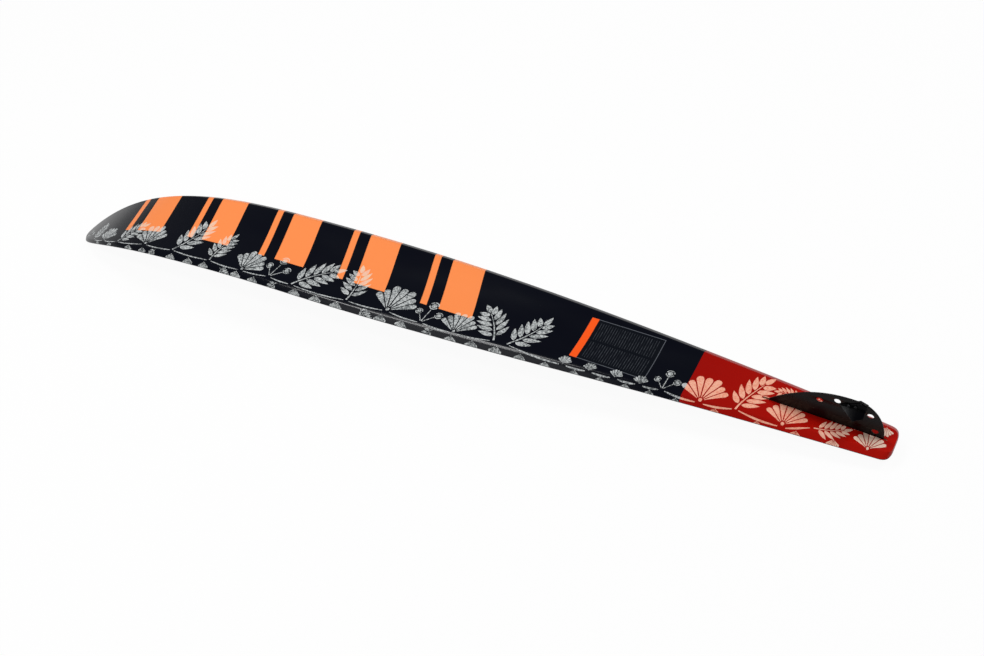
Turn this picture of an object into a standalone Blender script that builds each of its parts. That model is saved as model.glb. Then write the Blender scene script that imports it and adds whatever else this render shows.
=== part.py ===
"""Slalom water ski with an adjustable fin, lying base up as it is shown in a shop.

The ski is built in its own frame: X runs from the tail end to the tip, Y across, and Z out of
the base. The fin and its clamp are built in a second frame that lies on the deck at the tail.
Both hang from one empty, which stands the ski on the floor on its tip and its fin clamp.
"""

import math

import bmesh
import bpy
import numpy as np
from mathutils import Matrix, Vector

# Ski body
LENGTH = 1.651
WIDTH_TAIL_END = 0.0625
WIDTH_FIN = 0.0794
WIDTH_BEHIND_REAR_FOOT = 0.1104
WIDTH_REAR_FOOT = 0.1541
WIDTH_FRONT_FOOT = 0.1798
WIDTH_WIDEST = 0.1815
FIN_WIDTH_AT = 0.10
BEHIND_REAR_FOOT_AT = 0.30
REAR_FOOT_AT = 0.60
FRONT_FOOT_AT = 0.90
WIDEST_AT = 1.12
TIP_ROUND_LENGTH = 0.530
TIP_ROUND_POWERS = (2.80, 2.17)
TAIL_ROUND_LENGTH = 0.0205
TAIL_ROUND_POWER = 3.7
FLAT_AT = 0.941
TIP_RISE = 0.1341
TIP_RISE_POWER = 3.53
TAIL_RISE = 0.0319
TAIL_RISE_POWER = 2.66
EDGE_DEPTH = 0.0071
EDGE_DEPTH_TIP = 0.0042
EDGE_LAND = 0.0012
EDGE_LAND_TIP = 0.0008
BASE_BEVEL = 0.0100
BASE_BEVEL_TIP = 0.0040
BEVEL_POWER = 1.15
BASE_RIM = 0.0060
TUNNEL_DEPTH = 0.0030
DECK_BEVEL_RUN = 1.8
BEVEL_SHARE = 0.30
RIM_SHARE = 0.15
TIP_THINNING_FROM = 1.25
THICKNESS_TAIL = 0.0095
THICKNESS_BEHIND_REAR_FOOT = 0.0125
THICKNESS_REAR_FOOT = 0.0190
THICKNESS_FRONT_FOOT = 0.0200
THICKNESS_SHOULDER = 0.0120
SHOULDER_AT = 1.35
THICKNESS_TIP = 0.0060
SKIN = 0.0012
SIDE_WALL = 0.0030
END_WALL = 0.0040
GAP = 0.0003
TAIL_STATIONS = 7
TIP_STATIONS = 12
MIDDLE_STATIONS = 22
TIP_STATION_SPAN = 0.371
TIP_STATION_POWER = 2.4
TIP_END = 0.0006
STATION_ROOM = 0.36
FLOOR_SHARES = (0.0, 0.36, 0.70, 1.0)
JUST_INSIDE = 0.999

# Binding inserts in the deck
BINDING_REAR_AT = 0.44
BINDING_FRONT_AT = 0.98
INSERT_RADIUS = 0.00475
INSERT_LENGTH = 0.0110
INSERT_BORE = 0.0025
INSERT_GROOVE_RADIUS = 0.0040
INSERT_GROOVE_FROM = 0.0035
INSERT_GROOVE_TO = 0.0065
FRONT_PLATE_AT = 0.845
FRONT_ROW_PITCH = 0.095
FRONT_ROW_SPREAD = 0.088
REAR_PLATE_AT = 0.550
REAR_ROW_PITCH = 0.070
REAR_ROW_SPREAD = 0.062

# Fin blade, measured forward from the tail end and up from the base
BLADE_THICKNESS = 0.0018
BLADE_REAR_AT = 0.0188
BLADE_FRONT_AT = 0.1930
BLADE_DEEPEST_AT = 0.0660
BLADE_DEPTH = 0.0620
BLADE_EDGE_POWER = 2.2
BLADE_REAR_POWER = 1.85
BLADE_HOLE_RADIUS = 0.0049
BLADE_HOLE_AHEAD = (0.1190, 0.0368)
BLADE_HOLE_TOP = (0.0937, 0.0474)
BLADE_HOLE_BEHIND = (0.0438, 0.0389)
BLADE_HOLE_LOW = (0.0327, 0.0080)
SLOT_REAR_AT = 0.0133
SLOT_FRONT_AT = 0.2026
SLOT_WIDTH = 0.0028
SEAT_REACH = 0.215
SEAT_BLEND = 0.080

# Fin clamp on the deck
CLAMP_AT = 0.1000
WALL_LENGTH = 0.1640
WALL_HEIGHT = 0.0200
WALL_THICKNESS = 0.0060
FLANGE_WIDTH = 0.0150
FLANGE_THICKNESS = 0.0030
CLAMP_EDGE_BREAK = 0.0005
BOLT_DROP = 0.0076
BOLT_RADIUS = 0.0020
BOLT_HEAD_RADIUS = 0.0035
BOLT_HEAD_HEIGHT = 0.0030
HEAD_CHAMFER_SHARE = 0.15
SOCKET_SHARE = 0.65
SOCKET_RADIUS = 0.0017
SOCKET_DEPTH = 0.0018
TAB_DROP = 0.0132
MOUNT_SPACING = 0.0500
MOUNT_SCREW_RADIUS = 0.0021
MOUNT_HEAD_RADIUS = 0.0042
MOUNT_HEAD_HEIGHT = 0.0028
FIN_INSERT_LENGTH = 0.0060
FORE_AFT_TRAVEL = 0.0030
DEPTH_TRAVEL = 0.0015

# Screws that set the fin
REAR_BLOCK_LENGTH = 0.0130
FRONT_BLOCK_LENGTH = 0.0200
BLOCK_WIDTH = 0.0080
DEPTH_SCREW_RADIUS = 0.0015
DEPTH_SCREW_LENGTH = 0.0046
DEPTH_SOCKET_RADIUS = 0.0008
DEPTH_SOCKET_DEPTH = 0.0015
LENGTH_SCREW_RADIUS = 0.0015
LENGTH_SCREW_DROP = 0.0173
LENGTH_SCREW_ENGAGED = 0.0080
POST_THICKNESS = 0.0040
POST_WIDTH = 0.0100
POST_FOOT_LENGTH = 0.0120
POST_FOOT_WIDTH = 0.0360
POST_SCREW_SPREAD = 0.0260
POST_ROOM = 0.0022
POST_RIM = 0.0015
POST_SCREW_DEPTH = 0.0050
CLIP_RADIUS = 0.0030
CLIP_THICKNESS = 0.0012

# Wing on the fin
WING_THICKNESS = 0.0015
WING_ROOT_FRONT = (0.0885, 0.0427)
WING_ROOT_REAR = (0.0515, 0.0472)
WING_TOP_CORNER = (0.0615, 0.0612)
WING_REAR_CORNER = (0.0515, 0.0570)
WING_FRONT_HEIGHT = 0.0021
WING_TIP_AT = 0.0645
WING_HALF_SPAN = 0.0205
WING_HALF_SPAN_REAR = 0.0141
WING_DROOP_DEG = 20.0
WING_PIVOT = (0.0665, 0.0515)
WING_LOCK = (0.0765, 0.0495)
WING_SCREW_RADIUS = 0.0015
WING_HEAD_RADIUS = 0.0023
WING_HEAD_HEIGHT = 0.0018
WING_NUT_RADIUS = 0.0025
WING_NUT_HEIGHT = 0.0024
WING_TRAVEL_DEG = 4.0

# Steps round the turned pieces, and how far a cutter reaches past what it cuts
ROUND_STEPS = 16
SCREW_STEPS = 12
INSERT_STEPS = 10
SLOT_END_STEPS = 6
SLOPE_STEPS = 18
HEEL_STEPS = 12
SMOOTH_UNDER_DEG = 32.0
OVERRUN = 0.010
MERGE_UNDER = 0.000005


def clear_scene():
    """Remove every object of the start-up scene."""
    for old in list(bpy.data.objects):
        bpy.data.objects.remove(old, do_unlink=True)


def make_collection(name):
    """Return a new collection linked to the scene."""
    made = bpy.data.collections.new(name)
    bpy.context.scene.collection.children.link(made)
    return made


clear_scene()
PARTS = make_collection("water_ski")
CUTTERS = make_collection("cutters")


def make_material(name, colour, roughness, metallic=0.0):
    """Return a Principled material of one colour."""
    made = bpy.data.materials.new(name)
    made.use_nodes = True
    shader = made.node_tree.nodes["Principled BSDF"]
    shader.inputs["Base Color"].default_value = (*colour, 1.0)
    shader.inputs["Roughness"].default_value = roughness
    shader.inputs["Metallic"].default_value = metallic
    return made


BASE_GLOSS = make_material("base_gloss", (0.010, 0.012, 0.028), 0.22)
DECK_GLOSS = make_material("deck_gloss", (0.018, 0.018, 0.020), 0.30)
FOAM = make_material("foam", (0.72, 0.63, 0.42), 0.90)
BRASS = make_material("brass", (0.72, 0.52, 0.22), 0.35, 1.0)
BLACK_ALLOY = make_material("black_alloy", (0.030, 0.027, 0.027), 0.42, 0.8)
CLAMP_ALLOY = make_material("clamp_alloy", (0.045, 0.045, 0.048), 0.38, 0.9)
STEEL = make_material("steel", (0.55, 0.55, 0.56), 0.28, 1.0)
DARK_STEEL = make_material("dark_steel", (0.06, 0.06, 0.065), 0.35, 0.9)


def spline_through(points):
    """Return the natural cubic curve through (x, y) points, as a function of x."""
    xs = np.array([point[0] for point in points])
    ys = np.array([point[1] for point in points])
    step = np.diff(xs)
    slope = np.diff(ys) / step
    count = len(xs)
    matrix = np.eye(count)
    right = np.zeros(count)
    for i in range(1, count - 1):
        matrix[i, i - 1] = step[i - 1]
        matrix[i, i] = 2.0 * (step[i - 1] + step[i])
        matrix[i, i + 1] = step[i]
        right[i] = 6.0 * (slope[i] - slope[i - 1])
    bend = np.linalg.solve(matrix, right)

    def curve(x):
        x = min(max(x, xs[0]), xs[-1])
        i = min(max(int(np.searchsorted(xs, x)) - 1, 0), count - 2)
        left = xs[i + 1] - x
        along = x - xs[i]
        ends = (bend[i] * left**3 + bend[i + 1] * along**3) / (6.0 * step[i])
        low = (ys[i] / step[i] - bend[i] * step[i] / 6.0) * left
        high = (ys[i + 1] / step[i] - bend[i + 1] * step[i] / 6.0) * along
        return float(ends + low + high)

    return curve


def ease(value):
    """Return a smooth step from 0 to 1."""
    value = min(max(value, 0.0), 1.0)
    return value * value * (3.0 - 2.0 * value)


WIDTH_CURVE = spline_through(
    [
        (0.0, WIDTH_TAIL_END),
        (FIN_WIDTH_AT, WIDTH_FIN),
        (BEHIND_REAR_FOOT_AT, WIDTH_BEHIND_REAR_FOOT),
        (REAR_FOOT_AT, WIDTH_REAR_FOOT),
        (FRONT_FOOT_AT, WIDTH_FRONT_FOOT),
        (WIDEST_AT, WIDTH_WIDEST),
    ]
)
THICKNESS_CURVE = spline_through(
    [
        (0.0, THICKNESS_TAIL),
        (BEHIND_REAR_FOOT_AT, THICKNESS_BEHIND_REAR_FOOT),
        (REAR_FOOT_AT, THICKNESS_REAR_FOOT),
        (FRONT_FOOT_AT, THICKNESS_FRONT_FOOT),
        (SHOULDER_AT, THICKNESS_SHOULDER),
        (LENGTH, THICKNESS_TIP),
    ]
)


def half_width(x):
    """Return half the ski's width at x, with its round tip and tail."""
    tip = min(max((LENGTH - x) / TIP_ROUND_LENGTH, 0.0), 1.0)
    tail = min(max(x / TAIL_ROUND_LENGTH, 0.0), 1.0)
    tip_power, tip_root = TIP_ROUND_POWERS
    tip_share = (1.0 - (1.0 - tip) ** tip_power) ** (1.0 / tip_root)
    tail_share = (1.0 - (1.0 - tail) ** TAIL_ROUND_POWER) ** (1.0 / TAIL_ROUND_POWER)
    return 0.5 * WIDTH_CURVE(x) * tip_share * tail_share


def base_height(x):
    """Return the height of the base's edge line at x; the rocker drops both ends."""
    ahead = max(x - FLAT_AT, 0.0) / (LENGTH - FLAT_AT)
    behind = max(FLAT_AT - x, 0.0) / FLAT_AT
    return -TIP_RISE * ahead**TIP_RISE_POWER - TAIL_RISE * behind**TAIL_RISE_POWER


SEAT_SLOPE = (base_height(SLOT_FRONT_AT) - base_height(SLOT_REAR_AT)) / (SLOT_FRONT_AT - SLOT_REAR_AT)
SEAT_ANGLE = math.atan(SEAT_SLOPE)


def seat_height(x):
    """Return the height of the flat that the fin clamp sits on."""
    return base_height(CLAMP_AT) - THICKNESS_TAIL + SEAT_SLOPE * (x - CLAMP_AT)


def free_deck_height(x):
    """Return the deck's height where it is not flattened."""
    return base_height(x) - THICKNESS_CURVE(x)


def deck_height(x):
    """Return the deck's height, flat under the fin clamp and under the bindings."""
    if x < SEAT_REACH + SEAT_BLEND:
        share = ease((x - SEAT_REACH) / SEAT_BLEND)
        return seat_height(x) * (1.0 - share) + free_deck_height(x) * share
    if BINDING_REAR_AT < x < BINDING_FRONT_AT:
        share = (x - BINDING_REAR_AT) / (BINDING_FRONT_AT - BINDING_REAR_AT)
        return free_deck_height(BINDING_REAR_AT) * (1.0 - share) + free_deck_height(BINDING_FRONT_AT) * share
    return free_deck_height(x)


def towards_tip(x, middle, tip):
    """Return a size that eases from its middle value to its tip value."""
    share = ease((x - TIP_THINNING_FROM) / (LENGTH - TIP_THINNING_FROM))
    return middle * (1.0 - share) + tip * share


class Section:
    """The ski's outline across at one place along it."""

    def __init__(self, x):
        self.x = x
        self.half = half_width(x)
        self.base = base_height(x)
        self.thick = self.base - deck_height(x)
        self.edge = towards_tip(x, EDGE_DEPTH, EDGE_DEPTH_TIP)
        self.land = towards_tip(x, EDGE_LAND, EDGE_LAND_TIP)
        self.bevel = min(towards_tip(x, BASE_BEVEL, BASE_BEVEL_TIP), BEVEL_SHARE * self.half)
        self.rim = min(BASE_RIM, RIM_SHARE * self.half)
        fading = ease((LENGTH - x) / (LENGTH - FLAT_AT)) * ease(2.0 * self.half / WIDTH_WIDEST)
        self.tunnel = TUNNEL_DEPTH * fading
        self.floor = self.half - self.bevel - self.rim
        self.deck_bevel = min(DECK_BEVEL_RUN * (self.thick - self.edge - self.land), 0.5 * self.half)
        self.inside = self.half - min(SIDE_WALL, BEVEL_SHARE * self.half)
        self.hollow = END_WALL < x < LENGTH - END_WALL

    def base_outer(self, y):
        """Return the base surface's height below the edge line at y."""
        y = abs(y)
        if y < self.floor:
            return -self.tunnel * (1.0 - (y / self.floor) ** 2) ** 2
        if y <= self.half - self.bevel:
            return 0.0
        share = (y - self.half + self.bevel) / self.bevel
        return -self.edge * share**BEVEL_POWER

    def deck_outer(self, y):
        """Return the deck surface's height below the edge line at y."""
        share = max(abs(y) - self.half + self.deck_bevel, 0.0) / self.deck_bevel
        return -self.thick + (self.thick - self.edge - self.land) * share

    def base_inner(self, y):
        """Return the height of the base laminate's inner face at y."""
        if not self.hollow:
            return -self.edge
        return max(self.base_outer(y) - SKIN, -self.edge + GAP)

    def deck_inner(self, y):
        """Return the height of the deck laminate's inner face at y."""
        if not self.hollow:
            return -self.edge - GAP
        return min(self.deck_outer(y) + SKIN, -self.edge - 2.0 * GAP)

    def place(self, points):
        """Return (y, height) points as points of the ski."""
        return [Vector((self.x, y, self.base + z)) for y, z in points]


def mirrored(half_points):
    """Return points from the left edge to the right edge, from the half between centre and edge."""
    left = [(-y, z) for y, z in reversed(half_points) if y > 0.0]
    return left + list(half_points)


def base_section(s):
    """Return the base laminate's outline at a section."""
    floor = tuple(share * s.floor for share in FLOOR_SHARES)
    flat = s.half - s.bevel
    outer = [(y, s.base_outer(y)) for y in floor + (flat, flat + 0.5 * s.bevel, s.half)]
    inner = [(y, s.base_inner(y)) for y in floor + (min(flat, JUST_INSIDE * s.inside), s.inside)]
    inner.append((s.inside, -s.edge))
    return s.place(mirrored(outer) + list(reversed(mirrored(inner))))


def deck_section(s):
    """Return the deck laminate's outline at a section."""
    flat = s.half - s.deck_bevel
    outer = [(y, s.deck_outer(y)) for y in (0.0, flat, s.half)]
    outer.append((s.half, -s.edge - GAP))
    inner = [(y, s.deck_inner(y)) for y in (0.0, min(flat, JUST_INSIDE * s.inside), s.inside)]
    inner.append((s.inside, -s.edge - GAP))
    return s.place(mirrored(inner) + list(reversed(mirrored(outer))))


def core_section(s):
    """Return the foam core's outline at a section."""
    edge = s.inside - GAP
    floor = tuple(share * s.floor for share in FLOOR_SHARES)
    top = [(y, s.base_inner(y) - GAP) for y in floor + (min(s.half - s.bevel, JUST_INSIDE * edge), edge)]
    flat = min(s.half - s.deck_bevel, JUST_INSIDE * edge)
    bottom = [(y, s.deck_inner(y) + GAP) for y in (0.0, flat, edge)]
    return s.place(mirrored(top) + list(reversed(mirrored(bottom))))


def body_stations():
    """Return the places along the ski where its sections are taken, close together at both ends."""
    tail = [TAIL_ROUND_LENGTH * (i / TAIL_STATIONS) ** 2 for i in range(1, TAIL_STATIONS + 1)]
    tail[0] = 0.5 * tail[0]
    shares = [(i / TIP_STATIONS) ** TIP_STATION_POWER for i in range(TIP_STATIONS, 0, -1)]
    tip = [LENGTH - TIP_STATION_SPAN * share for share in shares]
    tip[-1] = LENGTH - TIP_END
    walls = [END_WALL, END_WALL + GAP, LENGTH - END_WALL - GAP, LENGTH - END_WALL]
    taken = sorted(tail + tip + walls + [SEAT_REACH, BINDING_REAR_AT, BINDING_FRONT_AT])
    step = (tip[0] - tail[-1]) / (MIDDLE_STATIONS + 1)
    middle = [tail[-1] + step * i for i in range(1, MIDDLE_STATIONS + 1)]
    kept = [x for x in middle if min(abs(x - other) for other in taken) > STATION_ROOM * step]
    return sorted(taken + kept)


def finish_object(name, mesh, material, smooth=False):
    """Return a new object; a round one is shaded smooth up to its sharp edges."""
    made = bpy.data.objects.new(name, mesh)
    PARTS.objects.link(made)
    if material:
        mesh.materials.append(material)
    if smooth:
        mesh.shade_smooth()
        mesh.set_sharp_from_angle(angle=math.radians(SMOOTH_UNDER_DEG))
    return made


def object_from_bmesh(name, work, material, smooth=False):
    """Return an object holding a bmesh with its faces pointing out."""
    bmesh.ops.recalc_face_normals(work, faces=work.faces)
    mesh = bpy.data.meshes.new(name)
    work.to_mesh(mesh)
    work.free()
    return finish_object(name, mesh, material, smooth)


def loft(name, rings, material, smooth=True):
    """Return a closed body through rings of points, with flat ends."""
    work = bmesh.new()
    rows = [[work.verts.new(point) for point in ring] for ring in rings]
    count = len(rows[0])
    for row, following in zip(rows, rows[1:]):
        for i in range(count):
            j = (i + 1) % count
            work.faces.new((row[i], row[j], following[j], following[i]))
    work.faces.new(list(reversed(rows[0])))
    work.faces.new(rows[-1])
    return object_from_bmesh(name, work, material, smooth)


def make_empty(name, location, parent=None, turn=(0.0, 0.0, 0.0)):
    """Return an empty that carries pieces."""
    made = bpy.data.objects.new(name, None)
    made.empty_display_size = 0.01
    made.location = location
    made.rotation_euler = turn
    made.parent = parent
    PARTS.objects.link(made)
    return made


def attach(piece, carrier, origin=(0.0, 0.0, 0.0)):
    """Hang a piece from an empty that stands at origin in the piece's own frame."""
    piece.data.transform(Matrix.Translation(-Vector(origin)))
    piece.parent = carrier
    return piece


def make_cutter(piece):
    """Turn a piece into a hidden cutter."""
    for collection in piece.users_collection:
        collection.objects.unlink(piece)
    CUTTERS.objects.link(piece)
    piece.hide_render = True
    piece.display_type = "WIRE"
    return piece


def cut(piece, *cutters):
    """Cut cutters out of a piece."""
    for cutter in cutters:
        change = piece.modifiers.new("cut_" + cutter.name, "BOOLEAN")
        change.operation = "DIFFERENCE"
        change.solver = "EXACT"
        change.object = cutter


def break_corners(corners, width):
    """Return an outline whose outward corners are broken by a small flat."""
    points = [Vector(corner) for corner in corners]
    count = len(points)
    area = sum(points[i].cross(points[(i + 1) % count]) for i in range(count))
    broken = []
    for i, point in enumerate(points):
        before = (points[i - 1] - point).normalized()
        after = (points[(i + 1) % count] - point).normalized()
        if after.cross(before) * area > 0.0:
            broken += [tuple(point + width * before), tuple(point + width * after)]
        else:
            broken.append(tuple(point))
    return broken


def box(name, low, high, material=None):
    """Return a box between two corners."""
    low, high = Vector(low), Vector(high)
    size = high - low
    middle = 0.5 * (low + high)
    work = bmesh.new()
    bmesh.ops.create_cube(work, size=1.0, matrix=Matrix.Translation(middle) @ Matrix.Diagonal((*size, 1.0)))
    return object_from_bmesh(name, work, material)


def rod(name, start, end, radius, material=None, segments=ROUND_STEPS):
    """Return a round bar, or a prism of few sides, between two points."""
    start, end = Vector(start), Vector(end)
    along = end - start
    turn = along.to_track_quat("Z", "Y").to_matrix().to_4x4()
    work = bmesh.new()
    bmesh.ops.create_cone(
        work,
        cap_ends=True,
        segments=segments,
        radius1=radius,
        radius2=radius,
        depth=along.length,
        matrix=Matrix.Translation(0.5 * (start + end)) @ turn,
    )
    return object_from_bmesh(name, work, material)


def turned(name, profile, origin, axis, material, steps=ROUND_STEPS):
    """Return a turned piece; the profile's (radius, height) points run down its outer side."""
    mesh = bpy.data.meshes.new(name + "_profile")
    points = [(radius, 0.0, height) for radius, height in profile]
    mesh.from_pydata(points, [(i, i + 1) for i in range(len(points) - 1)], [])
    guide = bpy.data.objects.new(name + "_profile", mesh)
    PARTS.objects.link(guide)
    spin = guide.modifiers.new("turn", "SCREW")
    spin.steps = steps
    spin.render_steps = steps
    spin.use_merge_vertices = True
    spin.merge_threshold = 2.0 * MERGE_UNDER
    if profile[0][0] > 0.0:
        spin.use_merge_vertices = False
    made = evaluated_copy(name, guide, material, True)
    turn = Vector(axis).to_track_quat("Z", "Y").to_matrix().to_4x4()
    made.data.transform(Matrix.Translation(Vector(origin)) @ turn)
    return made


def evaluated_copy(name, guide, material, smooth=False):
    """Return a mesh object with the guide's evaluated shape, and remove the guide."""
    graph = bpy.context.evaluated_depsgraph_get()
    mesh = bpy.data.meshes.new_from_object(guide.evaluated_get(graph))
    mesh.name = name
    work = bmesh.new()
    work.from_mesh(mesh)
    bmesh.ops.remove_doubles(work, verts=work.verts, dist=MERGE_UNDER)
    bmesh.ops.recalc_face_normals(work, faces=work.faces)
    work.to_mesh(mesh)
    work.free()
    mesh.materials.clear()
    mesh.transform(guide.matrix_world)
    bpy.data.objects.remove(guide, do_unlink=True)
    return finish_object(name, mesh, material, smooth)


def plate(name, outlines, thickness, turn, material):
    """Return a flat plate with holes, from outlines in its plane, turned into place."""
    curve = bpy.data.curves.new(name + "_outline", "CURVE")
    curve.dimensions = "2D"
    curve.fill_mode = "BOTH"
    curve.extrude = 0.5 * thickness
    for outline in outlines:
        spline = curve.splines.new("POLY")
        spline.points.add(len(outline) - 1)
        for point, (x, y) in zip(spline.points, outline):
            point.co = (x, y, 0.0, 1.0)
        spline.use_cyclic_u = True
    guide = bpy.data.objects.new(name + "_outline", curve)
    PARTS.objects.link(guide)
    guide.matrix_world = turn
    bpy.context.view_layer.update()
    return evaluated_copy(name, guide, material)


UPRIGHT = Matrix.Rotation(math.radians(90.0), 4, "X")
LENGTHWISE = Matrix(((0.0, 0.0, 1.0, 0.0), (1.0, 0.0, 0.0, 0.0), (0.0, 1.0, 0.0, 0.0), (0.0, 0.0, 0.0, 1.0)))


def circle(centre, radius, steps=ROUND_STEPS):
    """Return the points of a circle."""
    turns = [2.0 * math.pi * i / steps for i in range(steps)]
    return [(centre[0] + radius * math.cos(t), centre[1] + radius * math.sin(t)) for t in turns]


def long_hole(centre, radius, reach, angle=0.0, steps=SLOT_END_STEPS):
    """Return a slot with round ends; reach is how far its end centres lie from its middle."""
    points = []
    for side in (1.0, -1.0):
        for i in range(steps + 1):
            t = math.pi * (i / steps - 0.5)
            points.append((side * (reach + radius * math.cos(t)), side * radius * math.sin(t)))
    c, s = math.cos(angle), math.sin(angle)
    return [(centre[0] + c * x - s * y, centre[1] + s * x + c * y) for x, y in points]


def floor_pose():
    """Return the pitch, and the shift, that stand the ski on its tip and on its fin clamp."""
    rear = CLAMP_AT - 0.5 * WALL_LENGTH
    c, s = math.cos(SEAT_ANGLE), math.sin(SEAT_ANGLE)
    heel = (c * rear + s * WALL_HEIGHT, seat_height(0.0) + s * rear - c * WALL_HEIGHT)
    stations = body_stations()
    toes = [(x, deck_height(x)) for x in stations if x > FLAT_AT]
    pitch = min(math.atan2(z - heel[1], x - heel[0]) for x, z in toes)
    c, s = math.cos(pitch), math.sin(pitch)
    lift = s * heel[0] - c * heel[1]
    ends = []
    for x in (stations[0], stations[-1]):
        for z in (base_height(x), deck_height(x)):
            ends.append(c * x + s * z)
    shift = -0.5 * (min(ends) + max(ends))
    return pitch, shift, lift


PITCH, SHIFT, LIFT = floor_pose()
SKI = make_empty("ski_frame", (SHIFT, 0.0, LIFT), None, (0.0, PITCH, 0.0))
SEAT = make_empty("fin_seat", (0.0, 0.0, seat_height(0.0)), SKI, (0.0, -SEAT_ANGLE, 0.0))
BASE_LEVEL = THICKNESS_TAIL
BLADE_ROOM = 0.5 * BLADE_THICKNESS + GAP
FLANGE_FACE = -GAP - FLANGE_THICKNESS


def on_blade(point):
    """Return a point given forward from the tail and up from the base, in the seat's frame."""
    return point[0], BASE_LEVEL + point[1]


def make_body():
    """Make the two laminates and the core between them."""
    sections = [Section(x) for x in body_stations()]
    base = attach(loft("base_laminate", [base_section(s) for s in sections], BASE_GLOSS), SKI)
    deck = attach(loft("deck_laminate", [deck_section(s) for s in sections], DECK_GLOSS), SKI)
    inner = [s for s in sections if END_WALL + GAP < s.x < LENGTH - END_WALL - GAP]
    first, last = Section(END_WALL + 2.0 * GAP), Section(LENGTH - END_WALL - 2.0 * GAP)
    core = attach(loft("foam_core", [core_section(s) for s in [first, *inner, last]], FOAM), SKI)
    return base, deck, core


def make_slot(base, deck, core):
    """Cut the fin's slot through the ski."""
    middle = (0.5 * (SLOT_REAR_AT + SLOT_FRONT_AT), 0.0)
    radius = 0.5 * SLOT_WIDTH
    reach = 0.5 * (SLOT_FRONT_AT - SLOT_REAR_AT) - radius
    outline = long_hole(middle, radius, reach)
    opening = plate("slot_cutter", [outline], 6.0 * OVERRUN, Matrix.Identity(4), None)
    attach(make_cutter(opening), SEAT)
    for piece in (base, deck, core):
        cut(piece, opening)


def insert_profile(length, radius, bore):
    """Return the turned profile of a threaded insert, as a closed loop."""
    groove = INSERT_GROOVE_RADIUS
    loop = [(bore, length), (radius, length)]
    if length > INSERT_GROOVE_TO:
        loop += [(radius, INSERT_GROOVE_TO), (groove, INSERT_GROOVE_TO)]
        loop += [(groove, INSERT_GROOVE_FROM), (radius, INSERT_GROOVE_FROM)]
    loop += [(radius, 0.0), (bore, 0.0), (bore, length)]
    return loop


def make_insert(name, origin, up, length, bore, carrier):
    """Make one brass insert, with its mouth at origin, and return its cutter."""
    insert = turned(name, insert_profile(length, INSERT_RADIUS, bore), origin, up, BRASS, INSERT_STEPS)
    attach(insert, carrier)
    start = Vector(origin) - OVERRUN * Vector(up)
    end = Vector(origin) + (length + GAP) * Vector(up)
    pocket = rod("pocket_" + name, start, end, INSERT_RADIUS + GAP, None, INSERT_STEPS)
    return attach(make_cutter(pocket), carrier)


def make_binding_inserts(deck, core):
    """Make the inserts that the two bindings are screwed to."""
    rise = deck_height(BINDING_FRONT_AT) - deck_height(BINDING_REAR_AT)
    slope = rise / (BINDING_FRONT_AT - BINDING_REAR_AT)
    up = Vector((-slope, 0.0, 1.0)).normalized()
    plates = (
        ("front_insert_", FRONT_PLATE_AT, FRONT_ROW_PITCH, FRONT_ROW_SPREAD),
        ("rear_insert_", REAR_PLATE_AT, REAR_ROW_PITCH, REAR_ROW_SPREAD),
    )
    for label, middle, pitch, spread in plates:
        holes = [(middle + row * pitch, 0.5 * side * spread) for row in (-1, 0, 1) for side in (1, -1)]
        for number, (x, y) in enumerate(holes, 1):
            mouth = (x, y, deck_height(x))
            pocket = make_insert(f"{label}{number}", mouth, up, INSERT_LENGTH, INSERT_BORE, SKI)
            cut(deck, pocket)
            cut(core, pocket)


def mount_places():
    """Return the four places where the fin clamp is screwed down."""
    wall_outer = BLADE_ROOM + WALL_THICKNESS
    across = wall_outer + 0.5 * FLANGE_WIDTH
    return [(CLAMP_AT + row * MOUNT_SPACING, side * across) for row in (1, -1) for side in (1, -1)]


def bolt_profile(shank_radius, shank_length, head_radius, head_height):
    """Return the profile of a round-headed screw that points down from its head's seat."""
    chamfer = HEAD_CHAMFER_SHARE * head_height
    return [
        (0.0, head_height),
        (head_radius - chamfer, head_height),
        (head_radius, head_height - chamfer),
        (head_radius, 0.0),
        (shank_radius, 0.0),
        (shank_radius, -shank_length),
        (0.0, -shank_length),
    ]


def make_screw(name, origin, axis, sizes, material, carrier, centre=(0.0, 0.0, 0.0)):
    """Make a screw with its head's seat at origin, its head along axis, and a hexagon socket."""
    shank_radius, shank_length, head_radius, head_height = sizes
    profile = bolt_profile(shank_radius, shank_length, head_radius, head_height)
    screw = attach(turned(name, profile, origin, axis, material, SCREW_STEPS), carrier, centre)
    origin, axis = Vector(origin), Vector(axis)
    depth = min(SOCKET_DEPTH, SOCKET_SHARE * head_height)
    start = origin + (head_height - depth) * axis
    end = origin + (head_height + depth) * axis
    socket = rod("socket_" + name, start, end, min(SOCKET_RADIUS, 0.5 * head_radius), None, 6)
    cut(screw, attach(make_cutter(socket), carrier, centre))


def make_mount_screws(deck, core):
    """Make the four screws that hold the clamp down, and their inserts."""
    shank = FIN_INSERT_LENGTH + FLANGE_THICKNESS
    sizes = (MOUNT_SCREW_RADIUS, shank, MOUNT_HEAD_RADIUS, MOUNT_HEAD_HEIGHT)
    bore = MOUNT_SCREW_RADIUS + GAP
    for number, (x, y) in enumerate(mount_places(), 1):
        pocket = make_insert(f"fin_insert_{number}", (x, y, 0.0), (0, 0, 1), FIN_INSERT_LENGTH, bore, SEAT)
        cut(deck, pocket)
        cut(core, pocket)
        make_screw(f"mount_screw_{number}", (x, y, FLANGE_FACE - GAP), (0, 0, -1), sizes, STEEL, SEAT)


def wall_outline(side):
    """Return the angle section of one clamp half."""
    inner = BLADE_ROOM
    outer = inner + WALL_THICKNESS
    edge = outer + FLANGE_WIDTH
    corners = [(inner, -GAP), (edge, -GAP), (edge, FLANGE_FACE), (outer, FLANGE_FACE)]
    corners += [(outer, -WALL_HEIGHT), (inner, -WALL_HEIGHT)]
    return [(side * y, z) for y, z in corners]


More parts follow.
